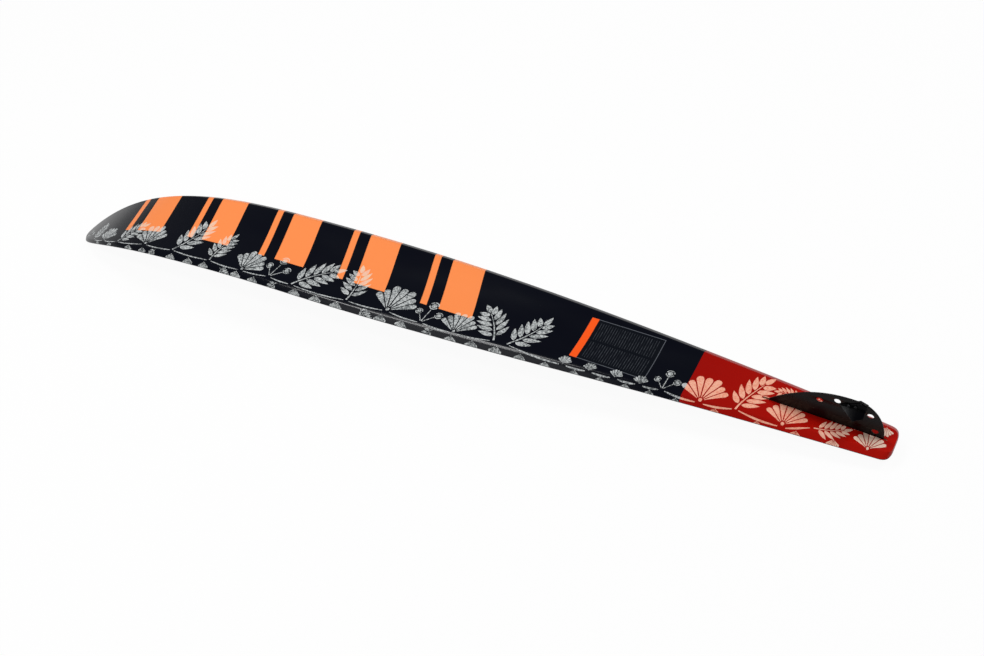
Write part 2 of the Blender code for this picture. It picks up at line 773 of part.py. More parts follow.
def block_span(front):
    """Return the rear and front ends of an end block, along the clamp."""
    if front:
        end = CLAMP_AT + 0.5 * WALL_LENGTH
        return end - FRONT_BLOCK_LENGTH, end
    end = CLAMP_AT - 0.5 * WALL_LENGTH
    return end, end + REAR_BLOCK_LENGTH


def bolt_places():
    """Return where the rear, middle and front cross bolts lie along the clamp."""
    rear = block_span(False)[0] + 0.5 * REAR_BLOCK_LENGTH
    front = block_span(True)[0] + 0.5 * REAR_BLOCK_LENGTH
    return {"rear": rear, "middle": 0.5 * (rear + front), "front": front}


def bolt_hole(name, x):
    """Return a cutter for a cross bolt's hole through the clamp."""
    reach = BLADE_ROOM + WALL_THICKNESS + OVERRUN
    hole = rod(name, (x, -reach, -BOLT_DROP), (x, reach, -BOLT_DROP), BOLT_RADIUS + GAP)
    return attach(make_cutter(hole), BLOCK, BLOCK_ORIGIN)


def make_clamp_half(name, side):
    """Make one half of the fin clamp, with its pockets, bolt holes and slots."""
    turn = Matrix.Translation((CLAMP_AT, 0.0, 0.0)) @ LENGTHWISE
    outline = break_corners(wall_outline(side), CLAMP_EDGE_BREAK)
    half = attach(plate(name, [outline], WALL_LENGTH, turn, CLAMP_ALLOY), BLOCK, BLOCK_ORIGIN)
    reach = 0.5 * BLOCK_WIDTH + GAP
    for front in (False, True):
        rear_end, front_end = block_span(front)
        low = (rear_end - (GAP if front else OVERRUN), -reach, -WALL_HEIGHT - OVERRUN)
        high = (front_end + (OVERRUN if front else GAP), reach, OVERRUN)
        pocket = box(f"{name}_pocket_{int(front)}", low, high)
        cut(half, attach(make_cutter(pocket), BLOCK, BLOCK_ORIGIN))
    for label, x in bolt_places().items():
        cut(half, bolt_hole(f"{name}_bolt_hole_{label}", x))
    for number, (x, y) in enumerate(mount_places()):
        if y * side > 0.0:
            slot = long_hole((x, y), MOUNT_SCREW_RADIUS + GAP, FORE_AFT_TRAVEL)
            opening = plate(f"{name}_slot_{number}", [slot], 2.0 * OVERRUN, Matrix.Identity(4), None)
            cut(half, attach(make_cutter(opening), BLOCK, BLOCK_ORIGIN))
    return half


def make_end_block(name, front):
    """Make the block between the clamp's ends that carries a depth screw."""
    rear_end, front_end = block_span(front)
    wide = 0.5 * BLOCK_WIDTH
    low = (rear_end, -wide, -WALL_HEIGHT + GAP)
    high = (front_end, wide, -2.0 * GAP)
    block = attach(box(name, low, high, CLAMP_ALLOY), BLOCK, BLOCK_ORIGIN)
    x = bolt_places()["front" if front else "rear"]
    cut(block, bolt_hole(name + "_bolt_hole", x))
    slit_low = (rear_end - OVERRUN, -BLADE_ROOM, -TAB_DROP - DEPTH_TRAVEL - GAP)
    slit_high = (front_end + OVERRUN, BLADE_ROOM, OVERRUN)
    well_start, well_end = (x, 0.0, -WALL_HEIGHT - OVERRUN), (x, 0.0, DEPTH_TRAVEL - TAB_DROP)
    well = rod(name + "_well", well_start, well_end, DEPTH_SCREW_RADIUS + GAP)
    cutters = [box(name + "_slit", slit_low, slit_high), well]
    if front:
        deep = front_end - LENGTH_SCREW_ENGAGED - FORE_AFT_TRAVEL - GAP
        start = (deep, 0.0, -LENGTH_SCREW_DROP)
        end = (front_end + OVERRUN, 0.0, -LENGTH_SCREW_DROP)
        cutters.append(rod(name + "_bore", start, end, LENGTH_SCREW_RADIUS + GAP))
    for cutter in cutters:
        cut(block, attach(make_cutter(cutter), BLOCK, BLOCK_ORIGIN))


def make_clamp():
    """Make the clamp's halves, end blocks and cross bolts."""
    make_clamp_half("clamp_left", 1.0)
    make_clamp_half("clamp_right", -1.0)
    make_end_block("front_end_block", True)
    make_end_block("rear_end_block", False)
    face = BLADE_ROOM + WALL_THICKNESS
    sizes = (BOLT_RADIUS, 2.0 * face + GAP, BOLT_HEAD_RADIUS, BOLT_HEAD_HEIGHT)
    for label, x in bolt_places().items():
        seat = (x, face + GAP, -BOLT_DROP)
        make_screw("clamp_bolt_" + label, seat, (0, 1, 0), sizes, STEEL, BLOCK, BLOCK_ORIGIN)


def length_screw_seats():
    """Return where the length screw's end, post and head lie along the clamp."""
    block_front = CLAMP_AT + 0.5 * WALL_LENGTH
    clip_rear = block_front + FORE_AFT_TRAVEL + POST_ROOM
    post_rear = clip_rear + CLIP_THICKNESS + GAP
    post_front = post_rear + POST_THICKNESS
    return block_front - LENGTH_SCREW_ENGAGED, clip_rear, post_rear, post_front


def make_post(post_rear, post_front):
    """Make the angle on the deck that the length screw turns in."""
    top = LENGTH_SCREW_DROP + LENGTH_SCREW_RADIUS + POST_RIM
    corners = [
        (post_rear, -GAP),
        (post_rear, -top),
        (post_front, -top),
        (post_front, FLANGE_FACE),
        (post_front + POST_FOOT_LENGTH, FLANGE_FACE),
        (post_front + POST_FOOT_LENGTH, -GAP),
    ]
    outline = break_corners(corners, CLAMP_EDGE_BREAK)
    post = attach(plate("adjuster_post", [outline], POST_FOOT_WIDTH, UPRIGHT, CLAMP_ALLOY), SEAT)
    for side in (1.0, -1.0):
        sides = sorted((0.5 * side * POST_WIDTH, side * (0.5 * POST_FOOT_WIDTH + OVERRUN)))
        low = (post_rear - OVERRUN, sides[0], -top - OVERRUN)
        high = (post_front + GAP, sides[1], FLANGE_FACE - GAP)
        shoulder = box(f"post_shoulder_{int(side)}", low, high)
        cut(post, attach(make_cutter(shoulder), SEAT))
    start = (post_rear - OVERRUN, 0.0, -LENGTH_SCREW_DROP)
    end = (post_front + OVERRUN, 0.0, -LENGTH_SCREW_DROP)
    bore = rod("post_bore", start, end, LENGTH_SCREW_RADIUS + GAP)
    cut(post, attach(make_cutter(bore), SEAT))
    return post


def make_length_screw(screw_end, clip_rear, post_front):
    """Make the screw that moves the clamp along the ski, and the clip that keeps it in the post."""
    origin = (post_front + GAP, 0.0, -LENGTH_SCREW_DROP)
    sizes = (LENGTH_SCREW_RADIUS, post_front + GAP - screw_end, BOLT_HEAD_RADIUS, BOLT_HEAD_HEIGHT)
    make_screw("length_screw", origin, (1, 0, 0), sizes, STEEL, LENGTH_AXIS, LENGTH_ORIGIN)
    bore_radius = LENGTH_SCREW_RADIUS + 0.5 * GAP
    ring = [(bore_radius, CLIP_THICKNESS), (CLIP_RADIUS, CLIP_THICKNESS), (CLIP_RADIUS, 0.0)]
    ring += [(bore_radius, 0.0), (bore_radius, CLIP_THICKNESS)]
    place = (clip_rear, 0.0, -LENGTH_SCREW_DROP)
    attach(turned("length_screw_clip", ring, place, (1, 0, 0), DARK_STEEL), LENGTH_AXIS, LENGTH_ORIGIN)


def make_length_adjuster(deck, core):
    """Make the post, its two screws, and the screw that moves the clamp."""
    screw_end, clip_rear, post_rear, post_front = length_screw_seats()
    post = make_post(post_rear, post_front)
    make_length_screw(screw_end, clip_rear, post_front)
    shank = FLANGE_THICKNESS + 2.0 * GAP + POST_SCREW_DEPTH
    sizes = (MOUNT_SCREW_RADIUS, shank, MOUNT_HEAD_RADIUS, MOUNT_HEAD_HEIGHT)
    x = post_front + 0.5 * POST_FOOT_LENGTH
    for label, side in (("left", 0.5), ("right", -0.5)):
        y = side * POST_SCREW_SPREAD
        depth = POST_SCREW_DEPTH + GAP
        hole = rod(f"post_hole_{label}", (x, y, -OVERRUN), (x, y, depth), MOUNT_SCREW_RADIUS + GAP)
        attach(make_cutter(hole), SEAT)
        for piece in (post, deck, core):
            cut(piece, hole)
        make_screw(f"post_screw_{label}", (x, y, FLANGE_FACE - GAP), (0, 0, -1), sizes, STEEL, SEAT)


def blade_outline():
    """Return the fin's outline: swept leading edge, round heel, and the tab held in the clamp."""
    points = []
    sweep = BLADE_FRONT_AT - BLADE_DEEPEST_AT
    heel = BLADE_DEEPEST_AT - BLADE_REAR_AT
    for i in range(SLOPE_STEPS + 1):
        u = 1.0 - i / SLOPE_STEPS
        height = 1.0 - u**BLADE_EDGE_POWER
        points.append((BLADE_DEEPEST_AT + sweep * u, BASE_LEVEL + BLADE_DEPTH * height))
    for i in range(1, HEEL_STEPS + 1):
        v = math.sin(0.5 * math.pi * i / HEEL_STEPS)
        height = max(1.0 - v**BLADE_EDGE_POWER, 0.0) ** (1.0 / BLADE_REAR_POWER)
        points.append((BLADE_DEEPEST_AT - heel * v, BASE_LEVEL + BLADE_DEPTH * height))
    tab_rear = CLAMP_AT - 0.5 * WALL_LENGTH + GAP
    tab_front = CLAMP_AT + 0.5 * WALL_LENGTH - GAP
    shoulder = DEPTH_TRAVEL + 2.0 * GAP
    points += [(BLADE_REAR_AT, shoulder), (tab_rear, shoulder), (tab_rear, -TAB_DROP)]
    points += [(tab_front, -TAB_DROP), (tab_front, shoulder), (BLADE_FRONT_AT, shoulder)]
    return points


def make_blade():
    """Make the fin blade with its holes and the slots for the cross bolts."""
    holes = (BLADE_HOLE_AHEAD, BLADE_HOLE_TOP, BLADE_HOLE_BEHIND, BLADE_HOLE_LOW)
    outlines = [blade_outline()]
    outlines += [circle(on_blade(hole), BLADE_HOLE_RADIUS) for hole in holes]
    for x in bolt_places().values():
        middle = (x, -BOLT_DROP)
        outlines.append(long_hole(middle, BOLT_RADIUS + GAP, DEPTH_TRAVEL, 0.5 * math.pi))
    outlines.append(circle(on_blade(WING_PIVOT), WING_SCREW_RADIUS + GAP, SCREW_STEPS))
    arm = Vector(WING_LOCK) - Vector(WING_PIVOT)
    swing = arm.length * math.sin(math.radians(WING_TRAVEL_DEG))
    angle = math.atan2(arm.y, arm.x) + 0.5 * math.pi
    outlines.append(long_hole(on_blade(WING_LOCK), WING_SCREW_RADIUS + GAP, swing, angle))
    attach(plate("fin_blade", outlines, BLADE_THICKNESS, UPRIGHT, BLACK_ALLOY), BLADE, BLADE_ORIGIN)


def make_depth_screws():
    """Make the two screws that set how deep the fin stands."""
    top = -TAB_DROP - GAP
    bottom = top - DEPTH_SCREW_LENGTH
    for label, carrier in DEPTH_AXES.items():
        x = bolt_places()[label]
        origin = (x, 0.0, 0.0)
        screw = rod("depth_screw_" + label, (x, 0.0, bottom), (x, 0.0, top), DEPTH_SCREW_RADIUS, DARK_STEEL)
        attach(screw, carrier, origin)
        start, end = (x, 0.0, bottom - DEPTH_SOCKET_DEPTH), (x, 0.0, bottom + DEPTH_SOCKET_DEPTH)
        socket = rod("depth_socket_" + label, start, end, DEPTH_SOCKET_RADIUS, None, 6)
        cut(screw, attach(make_cutter(socket), carrier, origin))


def between(x, low, high):
    """Return the height at x of the straight line through two (x, height) points."""
    return low[1] + (high[1] - low[1]) * (x - low[0]) / (high[0] - low[0])


def wing_section(x, side):
    """Return a wing's section at x: a flange flat on the fin, and a blade that droops outwards."""
    inner, outer = BLADE_ROOM, BLADE_ROOM + WING_THICKNESS
    droop = math.tan(math.radians(WING_DROOP_DEG))
    root = between(x, WING_ROOT_REAR, WING_ROOT_FRONT)
    front_top = (WING_ROOT_FRONT[0], WING_ROOT_FRONT[1] + WING_FRONT_HEIGHT)
    rear_half = x < WING_TOP_CORNER[0]
    top = between(x, WING_REAR_CORNER, WING_TOP_CORNER) if rear_half else between(x, WING_TOP_CORNER, front_top)
    tip_rear, tip_front = (WING_ROOT_REAR[0], WING_HALF_SPAN_REAR), (WING_TIP_AT, WING_HALF_SPAN)
    tip_end = (WING_ROOT_FRONT[0], outer + 2.0 * GAP)
    reach = between(x, tip_rear, tip_front) if x < WING_TIP_AT else between(x, tip_front, tip_end)
    points = [
        (inner, root),
        (reach, root - droop * (reach - inner)),
        (reach, root - droop * (reach - inner) + WING_THICKNESS),
        (outer, root - droop * (outer - inner) + WING_THICKNESS),
        (outer, top),
        (inner, top),
    ]
    return [Vector((x, side * y, BASE_LEVEL + z)) for y, z in points]


def make_wing(name, side):
    """Make one wing with the holes of its two screws."""
    places = (WING_ROOT_REAR[0], WING_TOP_CORNER[0], WING_TIP_AT, WING_ROOT_FRONT[0])
    wing = loft(name, [wing_section(x, side) for x in places], BLACK_ALLOY, False)
    attach(wing, WING, WING_ORIGIN)
    reach = BLADE_ROOM + WING_THICKNESS + OVERRUN
    for label, point in (("pivot", WING_PIVOT), ("lock", WING_LOCK)):
        x, z = on_blade(point)
        hole = rod(f"{name}_{label}_hole", (x, 0.0, z), (x, side * reach, z), WING_SCREW_RADIUS + GAP)
        cut(wing, attach(make_cutter(hole), WING, WING_ORIGIN))


def make_wings():
    """Make both wings, and the screws and nuts that hold them on the fin."""
    make_wing("wing_left", 1.0)
    make_wing("wing_right", -1.0)
    face = BLADE_ROOM + WING_THICKNESS
    shank = 2.0 * face + GAP + WING_NUT_HEIGHT
    sizes = (WING_SCREW_RADIUS, shank, WING_HEAD_RADIUS, WING_HEAD_HEIGHT)
    for label, point in (("pivot", WING_PIVOT), ("lock", WING_LOCK)):
        x, z = on_blade(point)
        make_screw(f"wing_{label}_screw", (x, face + GAP, z), (0, 1, 0), sizes, DARK_STEEL, WING, WING_ORIGIN)
        near, far = (x, -face - GAP, z), (x, -face - GAP - WING_NUT_HEIGHT, z)
        nut = rod(f"wing_{label}_nut", near, far, WING_NUT_RADIUS, DARK_STEEL, 6)
        attach(nut, WING, WING_ORIGIN)
        end = (x, far[1] - OVERRUN, z)
        bore = rod(f"wing_{label}_nut_bore", (x, 0.0, z), end, WING_SCREW_RADIUS + GAP)
        cut(nut, attach(make_cutter(bore), WING, WING_ORIGIN))


BLOCK_ORIGIN = (CLAMP_AT, 0.0, 0.0)
BLOCK = make_empty("fin_block_slide", BLOCK_ORIGIN, SEAT)
BLADE_ORIGIN = (CLAMP_AT, 0.0, BASE_LEVEL)
BLADE = make_empty("fin_depth_slide", Vector(BLADE_ORIGIN) - Vector(BLOCK_ORIGIN), BLOCK)
WING_ORIGIN = (on_blade(WING_PIVOT)[0], 0.0, on_blade(WING_PIVOT)[1])
WING = make_empty("wing_pivot", Vector(WING_ORIGIN) - Vector(BLADE_ORIGIN), BLADE)
LENGTH_ORIGIN = (length_screw_seats()[3], 0.0, -LENGTH_SCREW_DROP)
LENGTH_AXIS = make_empty("length_screw_axis", LENGTH_ORIGIN, SEAT)
DEPTH_AXES = {
    label: make_empty(
        f"depth_screw_{label}_axis",
        Vector((bolt_places()[label], 0.0, 0.0)) - Vector(BLADE_ORIGIN),
        BLADE,
    )
    for label in ("front", "rear")
}


def main():
    """Build the whole water ski."""
    base, deck, core = make_body()
    make_slot(base, deck, core)
    make_binding_inserts(deck, core)
    make_mount_screws(deck, core)
    make_clamp()
    make_length_adjuster(deck, core)
    make_blade()
    make_depth_screws()
    make_wings()


main()
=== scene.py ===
"""Visual model of a slalom water ski that lies base up in a white studio.

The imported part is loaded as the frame. The smooth shells, the print and the small parts of the
fin clamp are modelled around it, in metres, in the same place.
"""

import logging
import math
from contextlib import contextmanager
from dataclasses import dataclass, field
from enum import Enum
from typing import Callable, Iterator, Optional, Sequence, Union

import bmesh
import bpy
import numpy as np
from mathutils import Matrix, Vector


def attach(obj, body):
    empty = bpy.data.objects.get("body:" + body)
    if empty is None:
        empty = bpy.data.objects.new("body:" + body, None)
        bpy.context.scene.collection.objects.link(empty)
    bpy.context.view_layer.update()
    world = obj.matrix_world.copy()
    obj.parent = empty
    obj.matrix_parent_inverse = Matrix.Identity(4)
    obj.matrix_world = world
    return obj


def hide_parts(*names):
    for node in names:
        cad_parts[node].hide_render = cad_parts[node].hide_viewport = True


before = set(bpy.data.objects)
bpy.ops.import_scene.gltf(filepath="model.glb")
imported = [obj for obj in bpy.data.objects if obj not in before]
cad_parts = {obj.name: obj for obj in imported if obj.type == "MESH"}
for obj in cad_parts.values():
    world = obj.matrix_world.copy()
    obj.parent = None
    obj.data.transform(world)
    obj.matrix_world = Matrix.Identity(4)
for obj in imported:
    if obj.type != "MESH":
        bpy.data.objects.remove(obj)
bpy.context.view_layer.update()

LOG = logging.getLogger("water_ski")
Colour = tuple[float, float, float]
Point = tuple[float, float]
Piece = bpy.types.Object
Socket = bpy.types.NodeSocket
Value = Union[Socket, float]
GAP = 0.0003
FINE_MERGE = 0.000001
PLATE_MERGE = 0.000002


class Body(Enum):
    """The bodies of the frame that the pieces ride on."""

    SKI = "ski"
    FIN_BLOCK = "fin_block"
    FIN = "fin"
    WING = "wing"
    LENGTH_SCREW = "length_screw"
    DEPTH_FRONT = "depth_screw_front"
    DEPTH_REAR = "depth_screw_rear"


class Slot(Enum):
    """The material slots of the record."""

    BASE = "base_gloss"
    DECK = "deck_gloss"
    FOAM = "foam"
    BRASS = "brass"
    BLACK_ALLOY = "black_alloy"
    CLAMP_ALLOY = "clamp_alloy"
    STEEL = "steel"
    DARK_STEEL = "dark_steel"


class Side(Enum):
    """The two sides of the ski; the camera stands on the left one."""

    LEFT = 1.0
    RIGHT = -1.0


def ease(value: float) -> float:
    """Return a smooth step from 0 to 1.

    Args:
        value: Where the step is read; it is clamped to 0 and 1.

    Returns:
        The eased value.
    """
    value = min(max(value, 0.0), 1.0)
    return value * value * (3.0 - 2.0 * value)


def natural_curve(points: Sequence[Point]) -> Callable[[float], float]:
    """Fit the natural cubic curve through points.

    Args:
        points: The (x, y) points, in the order of x.

    Returns:
        A function that gives y at x.
    """
    xs = np.array([point[0] for point in points])
    ys = np.array([point[1] for point in points])
    step = np.diff(xs)
    slope = np.diff(ys) / step
    count = len(xs)
    matrix = np.eye(count)
    right = np.zeros(count)
    for i in range(1, count - 1):
        matrix[i, i - 1 : i + 2] = (step[i - 1], 2.0 * (step[i - 1] + step[i]), step[i])
        right[i] = 6.0 * (slope[i] - slope[i - 1])
    bend = np.linalg.solve(matrix, right)

    def curve(x: float) -> float:
        """Return y at x, held at the end values outside the points."""
        x = min(max(x, xs[0]), xs[-1])
        i = min(max(int(np.searchsorted(xs, x)) - 1, 0), count - 2)
        left, along = xs[i + 1] - x, x - xs[i]
        ends = (bend[i] * left**3 + bend[i + 1] * along**3) / (6.0 * step[i])
        low = (ys[i] / step[i] - bend[i] * step[i] / 6.0) * left
        high = (ys[i + 1] / step[i] - bend[i + 1] * step[i] / 6.0) * along
        return float(ends + low + high)

    return curve


def turns(count: int) -> list[float]:
    """Return angles spread evenly round a circle."""
    return [2.0 * math.pi * i / count for i in range(count)]


def facing(origin: Sequence[float], axis: Sequence[float]) -> Matrix:
    """Return the place of a piece that stands at origin with its +Z along axis."""
    turn = Vector(axis).to_track_quat("Z", "Y").to_matrix().to_4x4()
    return Matrix.Translation(Vector(origin)) @ turn


@dataclass(frozen=True)
class SkiPlace:
    """Where the ski's own frame and the fin clamp's seat stand in the shared frame."""

    shift: float = -0.8285320168
    lift: float = 0.0581328027
    pitch_deg: float = -2.8273704970
    seat_angle_deg: float = 4.2227562574
    seat_offset: float = -0.0405427

    def ski(self) -> Matrix:
        """Return the matrix of the ski's frame: X to the tip from the tail, Z out of the base."""
        turn = Matrix.Rotation(math.radians(self.pitch_deg), 4, "Y")
        return Matrix.Translation((self.shift, 0.0, self.lift)) @ turn

    def seat(self) -> Matrix:
        """Return the matrix of the fin clamp's seat on the deck."""
        turn = Matrix.Rotation(-math.radians(self.seat_angle_deg), 4, "Y")
        return self.ski() @ Matrix.Translation((0.0, 0.0, self.seat_offset)) @ turn


@dataclass
class SkiForm:
    """The ski's width, rocker, thickness and sections, in its own frame."""

    length: float = 1.651
    widths: tuple[Point, ...] = (
        (0.0, 0.0625), (0.10, 0.0794), (0.30, 0.1104), (0.60, 0.1541), (0.90, 0.1798), (1.12, 0.1815),
    )
    thicknesses: tuple[Point, ...] = (
        (0.0, 0.0095), (0.30, 0.0125), (0.60, 0.0190), (0.90, 0.0200), (1.35, 0.0120), (1.651, 0.0060),
    )
    tip_round: float = 0.530
    tip_powers: tuple[float, float] = (2.80, 2.17)
    tail_round: float = 0.0205
    tail_power: float = 3.7
    flat_at: float = 0.941
    tip_rise: float = 0.1341
    tip_power: float = 3.53
    tail_rise: float = 0.0319
    tail_rise_power: float = 2.66
    edge: tuple[float, float] = (0.0071, 0.0042)
    land: tuple[float, float] = (0.0012, 0.0008)
    bevel: tuple[float, float] = (0.0100, 0.0040)
    bevel_power: float = 1.15
    bevel_share: float = 0.30
    rim: float = 0.0060
    rim_share: float = 0.15
    tunnel: float = 0.0030
    thin_from: float = 1.25
    seat_reach: float = 0.215
    seat_blend: float = 0.080
    clamp_at: float = 0.1000
    slot: tuple[float, float] = (0.0133, 0.2026)
    binding: tuple[float, float] = (0.44, 0.98)
    tip_span: float = 0.371
    tip_spacing: float = 2.4
    tail_spacing: float = 2.0
    end_room: tuple[float, float] = (0.0002, 0.0006)
    width_curve: Callable[[float], float] = field(init=False)
    thickness_curve: Callable[[float], float] = field(init=False)
    seat_slope: float = field(init=False)

    def __post_init__(self) -> None:
        """Fit the curves and the slope of the clamp's seat."""
        self.width_curve = natural_curve(self.widths)
        self.thickness_curve = natural_curve(self.thicknesses)
        rear, front = self.slot
        self.seat_slope = (self.base_height(front) - self.base_height(rear)) / (front - rear)

    def half_width(self, x: float) -> float:
        """Return half the ski's width at x."""
        tip = min(max((self.length - x) / self.tip_round, 0.0), 1.0)
        tail = min(max(x / self.tail_round, 0.0), 1.0)
        tip_share = (1.0 - (1.0 - tip) ** self.tip_powers[0]) ** (1.0 / self.tip_powers[1])
        tail_share = (1.0 - (1.0 - tail) ** self.tail_power) ** (1.0 / self.tail_power)
        return 0.5 * self.width_curve(x) * tip_share * tail_share

    def base_height(self, x: float) -> float:
        """Return the height of the base's edge line at x."""
        ahead = max(x - self.flat_at, 0.0) / (self.length - self.flat_at)
        behind = max(self.flat_at - x, 0.0) / self.flat_at
        return -self.tip_rise * ahead**self.tip_power - self.tail_rise * behind**self.tail_rise_power

    def deck_height(self, x: float) -> float:
        """Return the deck's height at x, flat under the fin clamp and the bindings."""
        free = self.base_height(x) - self.thickness_curve(x)
        if x < self.seat_reach + self.seat_blend:
            share = ease((x - self.seat_reach) / self.seat_blend)
            seat = self.base_height(self.clamp_at) - self.thicknesses[0][1]
            seat += self.seat_slope * (x - self.clamp_at)
            return seat * (1.0 - share) + free * share
        rear, front = self.binding
        if rear < x < front:
            share = (x - rear) / (front - rear)
            low = self.base_height(rear) - self.thickness_curve(rear)
            high = self.base_height(front) - self.thickness_curve(front)
            return low * (1.0 - share) + high * share
        return free

    def towards_tip(self, x: float, sizes: tuple[float, float]) -> float:
        """Return a size that eases from its middle value to its value at the tip."""
        share = ease((x - self.thin_from) / (self.length - self.thin_from))
        return sizes[0] * (1.0 - share) + sizes[1] * share

    def bevel_at(self, x: float) -> float:
        """Return the width of the base's bevel at x."""
        return min(self.towards_tip(x, self.bevel), self.bevel_share * self.half_width(x))

    def rim_at(self, x: float) -> float:
        """Return the width of the flat rim beside the tunnel at x."""
        return min(self.rim, self.rim_share * self.half_width(x))

    def floor_at(self, x: float) -> float:
        """Return half the width of the base's shallow tunnel at x."""
        return self.half_width(x) - self.bevel_at(x) - self.rim_at(x)

    def base_drop(self, x: float, y: float) -> float:
        """Return how far the base lies below its edge line at (x, y)."""
        half, bevel, floor = self.half_width(x), self.bevel_at(x), self.floor_at(x)
        y = abs(y)
        if y < floor:
            fade = ease((self.length - x) / (self.length - self.flat_at))
            fade *= ease(2.0 * half / self.widths[-1][1])
            return self.tunnel * fade * (1.0 - (y / floor) ** 2) ** 2
        if y <= half - bevel:
            return 0.0
        share = min((y - half + bevel) / bevel, 1.0)
        return self.towards_tip(x, self.edge) * share**self.bevel_power

    def on_base(self, x: float, y: float, proud: float = 0.0) -> Vector:
        """Return a point of the ski's frame that stands proud of the base."""
        return Vector((x, y, self.base_height(x) - self.base_drop(x, y) + proud))

    def stations(self, middle_step: float, tip_count: int, tail_count: int) -> list[float]:
        """Return the places of the sections, close together at both ends.

        Args:
            middle_step: The distance between sections along the middle, in metres.
            tip_count: How many sections the tip gets.
            tail_count: How many sections the tail's round end gets.

        Returns:
            The places, from the tail to the tip.
        """
        tail = [self.tail_round * (i / tail_count) ** self.tail_spacing for i in range(1, tail_count + 1)]
        tail[0] = self.end_room[0]
        steps = range(tip_count, 0, -1)
        tip = [self.length - self.tip_span * (i / tip_count) ** self.tip_spacing for i in steps]
        tip[-1] = self.length - self.end_room[1]
        count = round((tip[0] - tail[-1]) / middle_step)
        middle = [tail[-1] + (tip[0] - tail[-1]) * i / count for i in range(1, count)]
        return tail + middle + tip


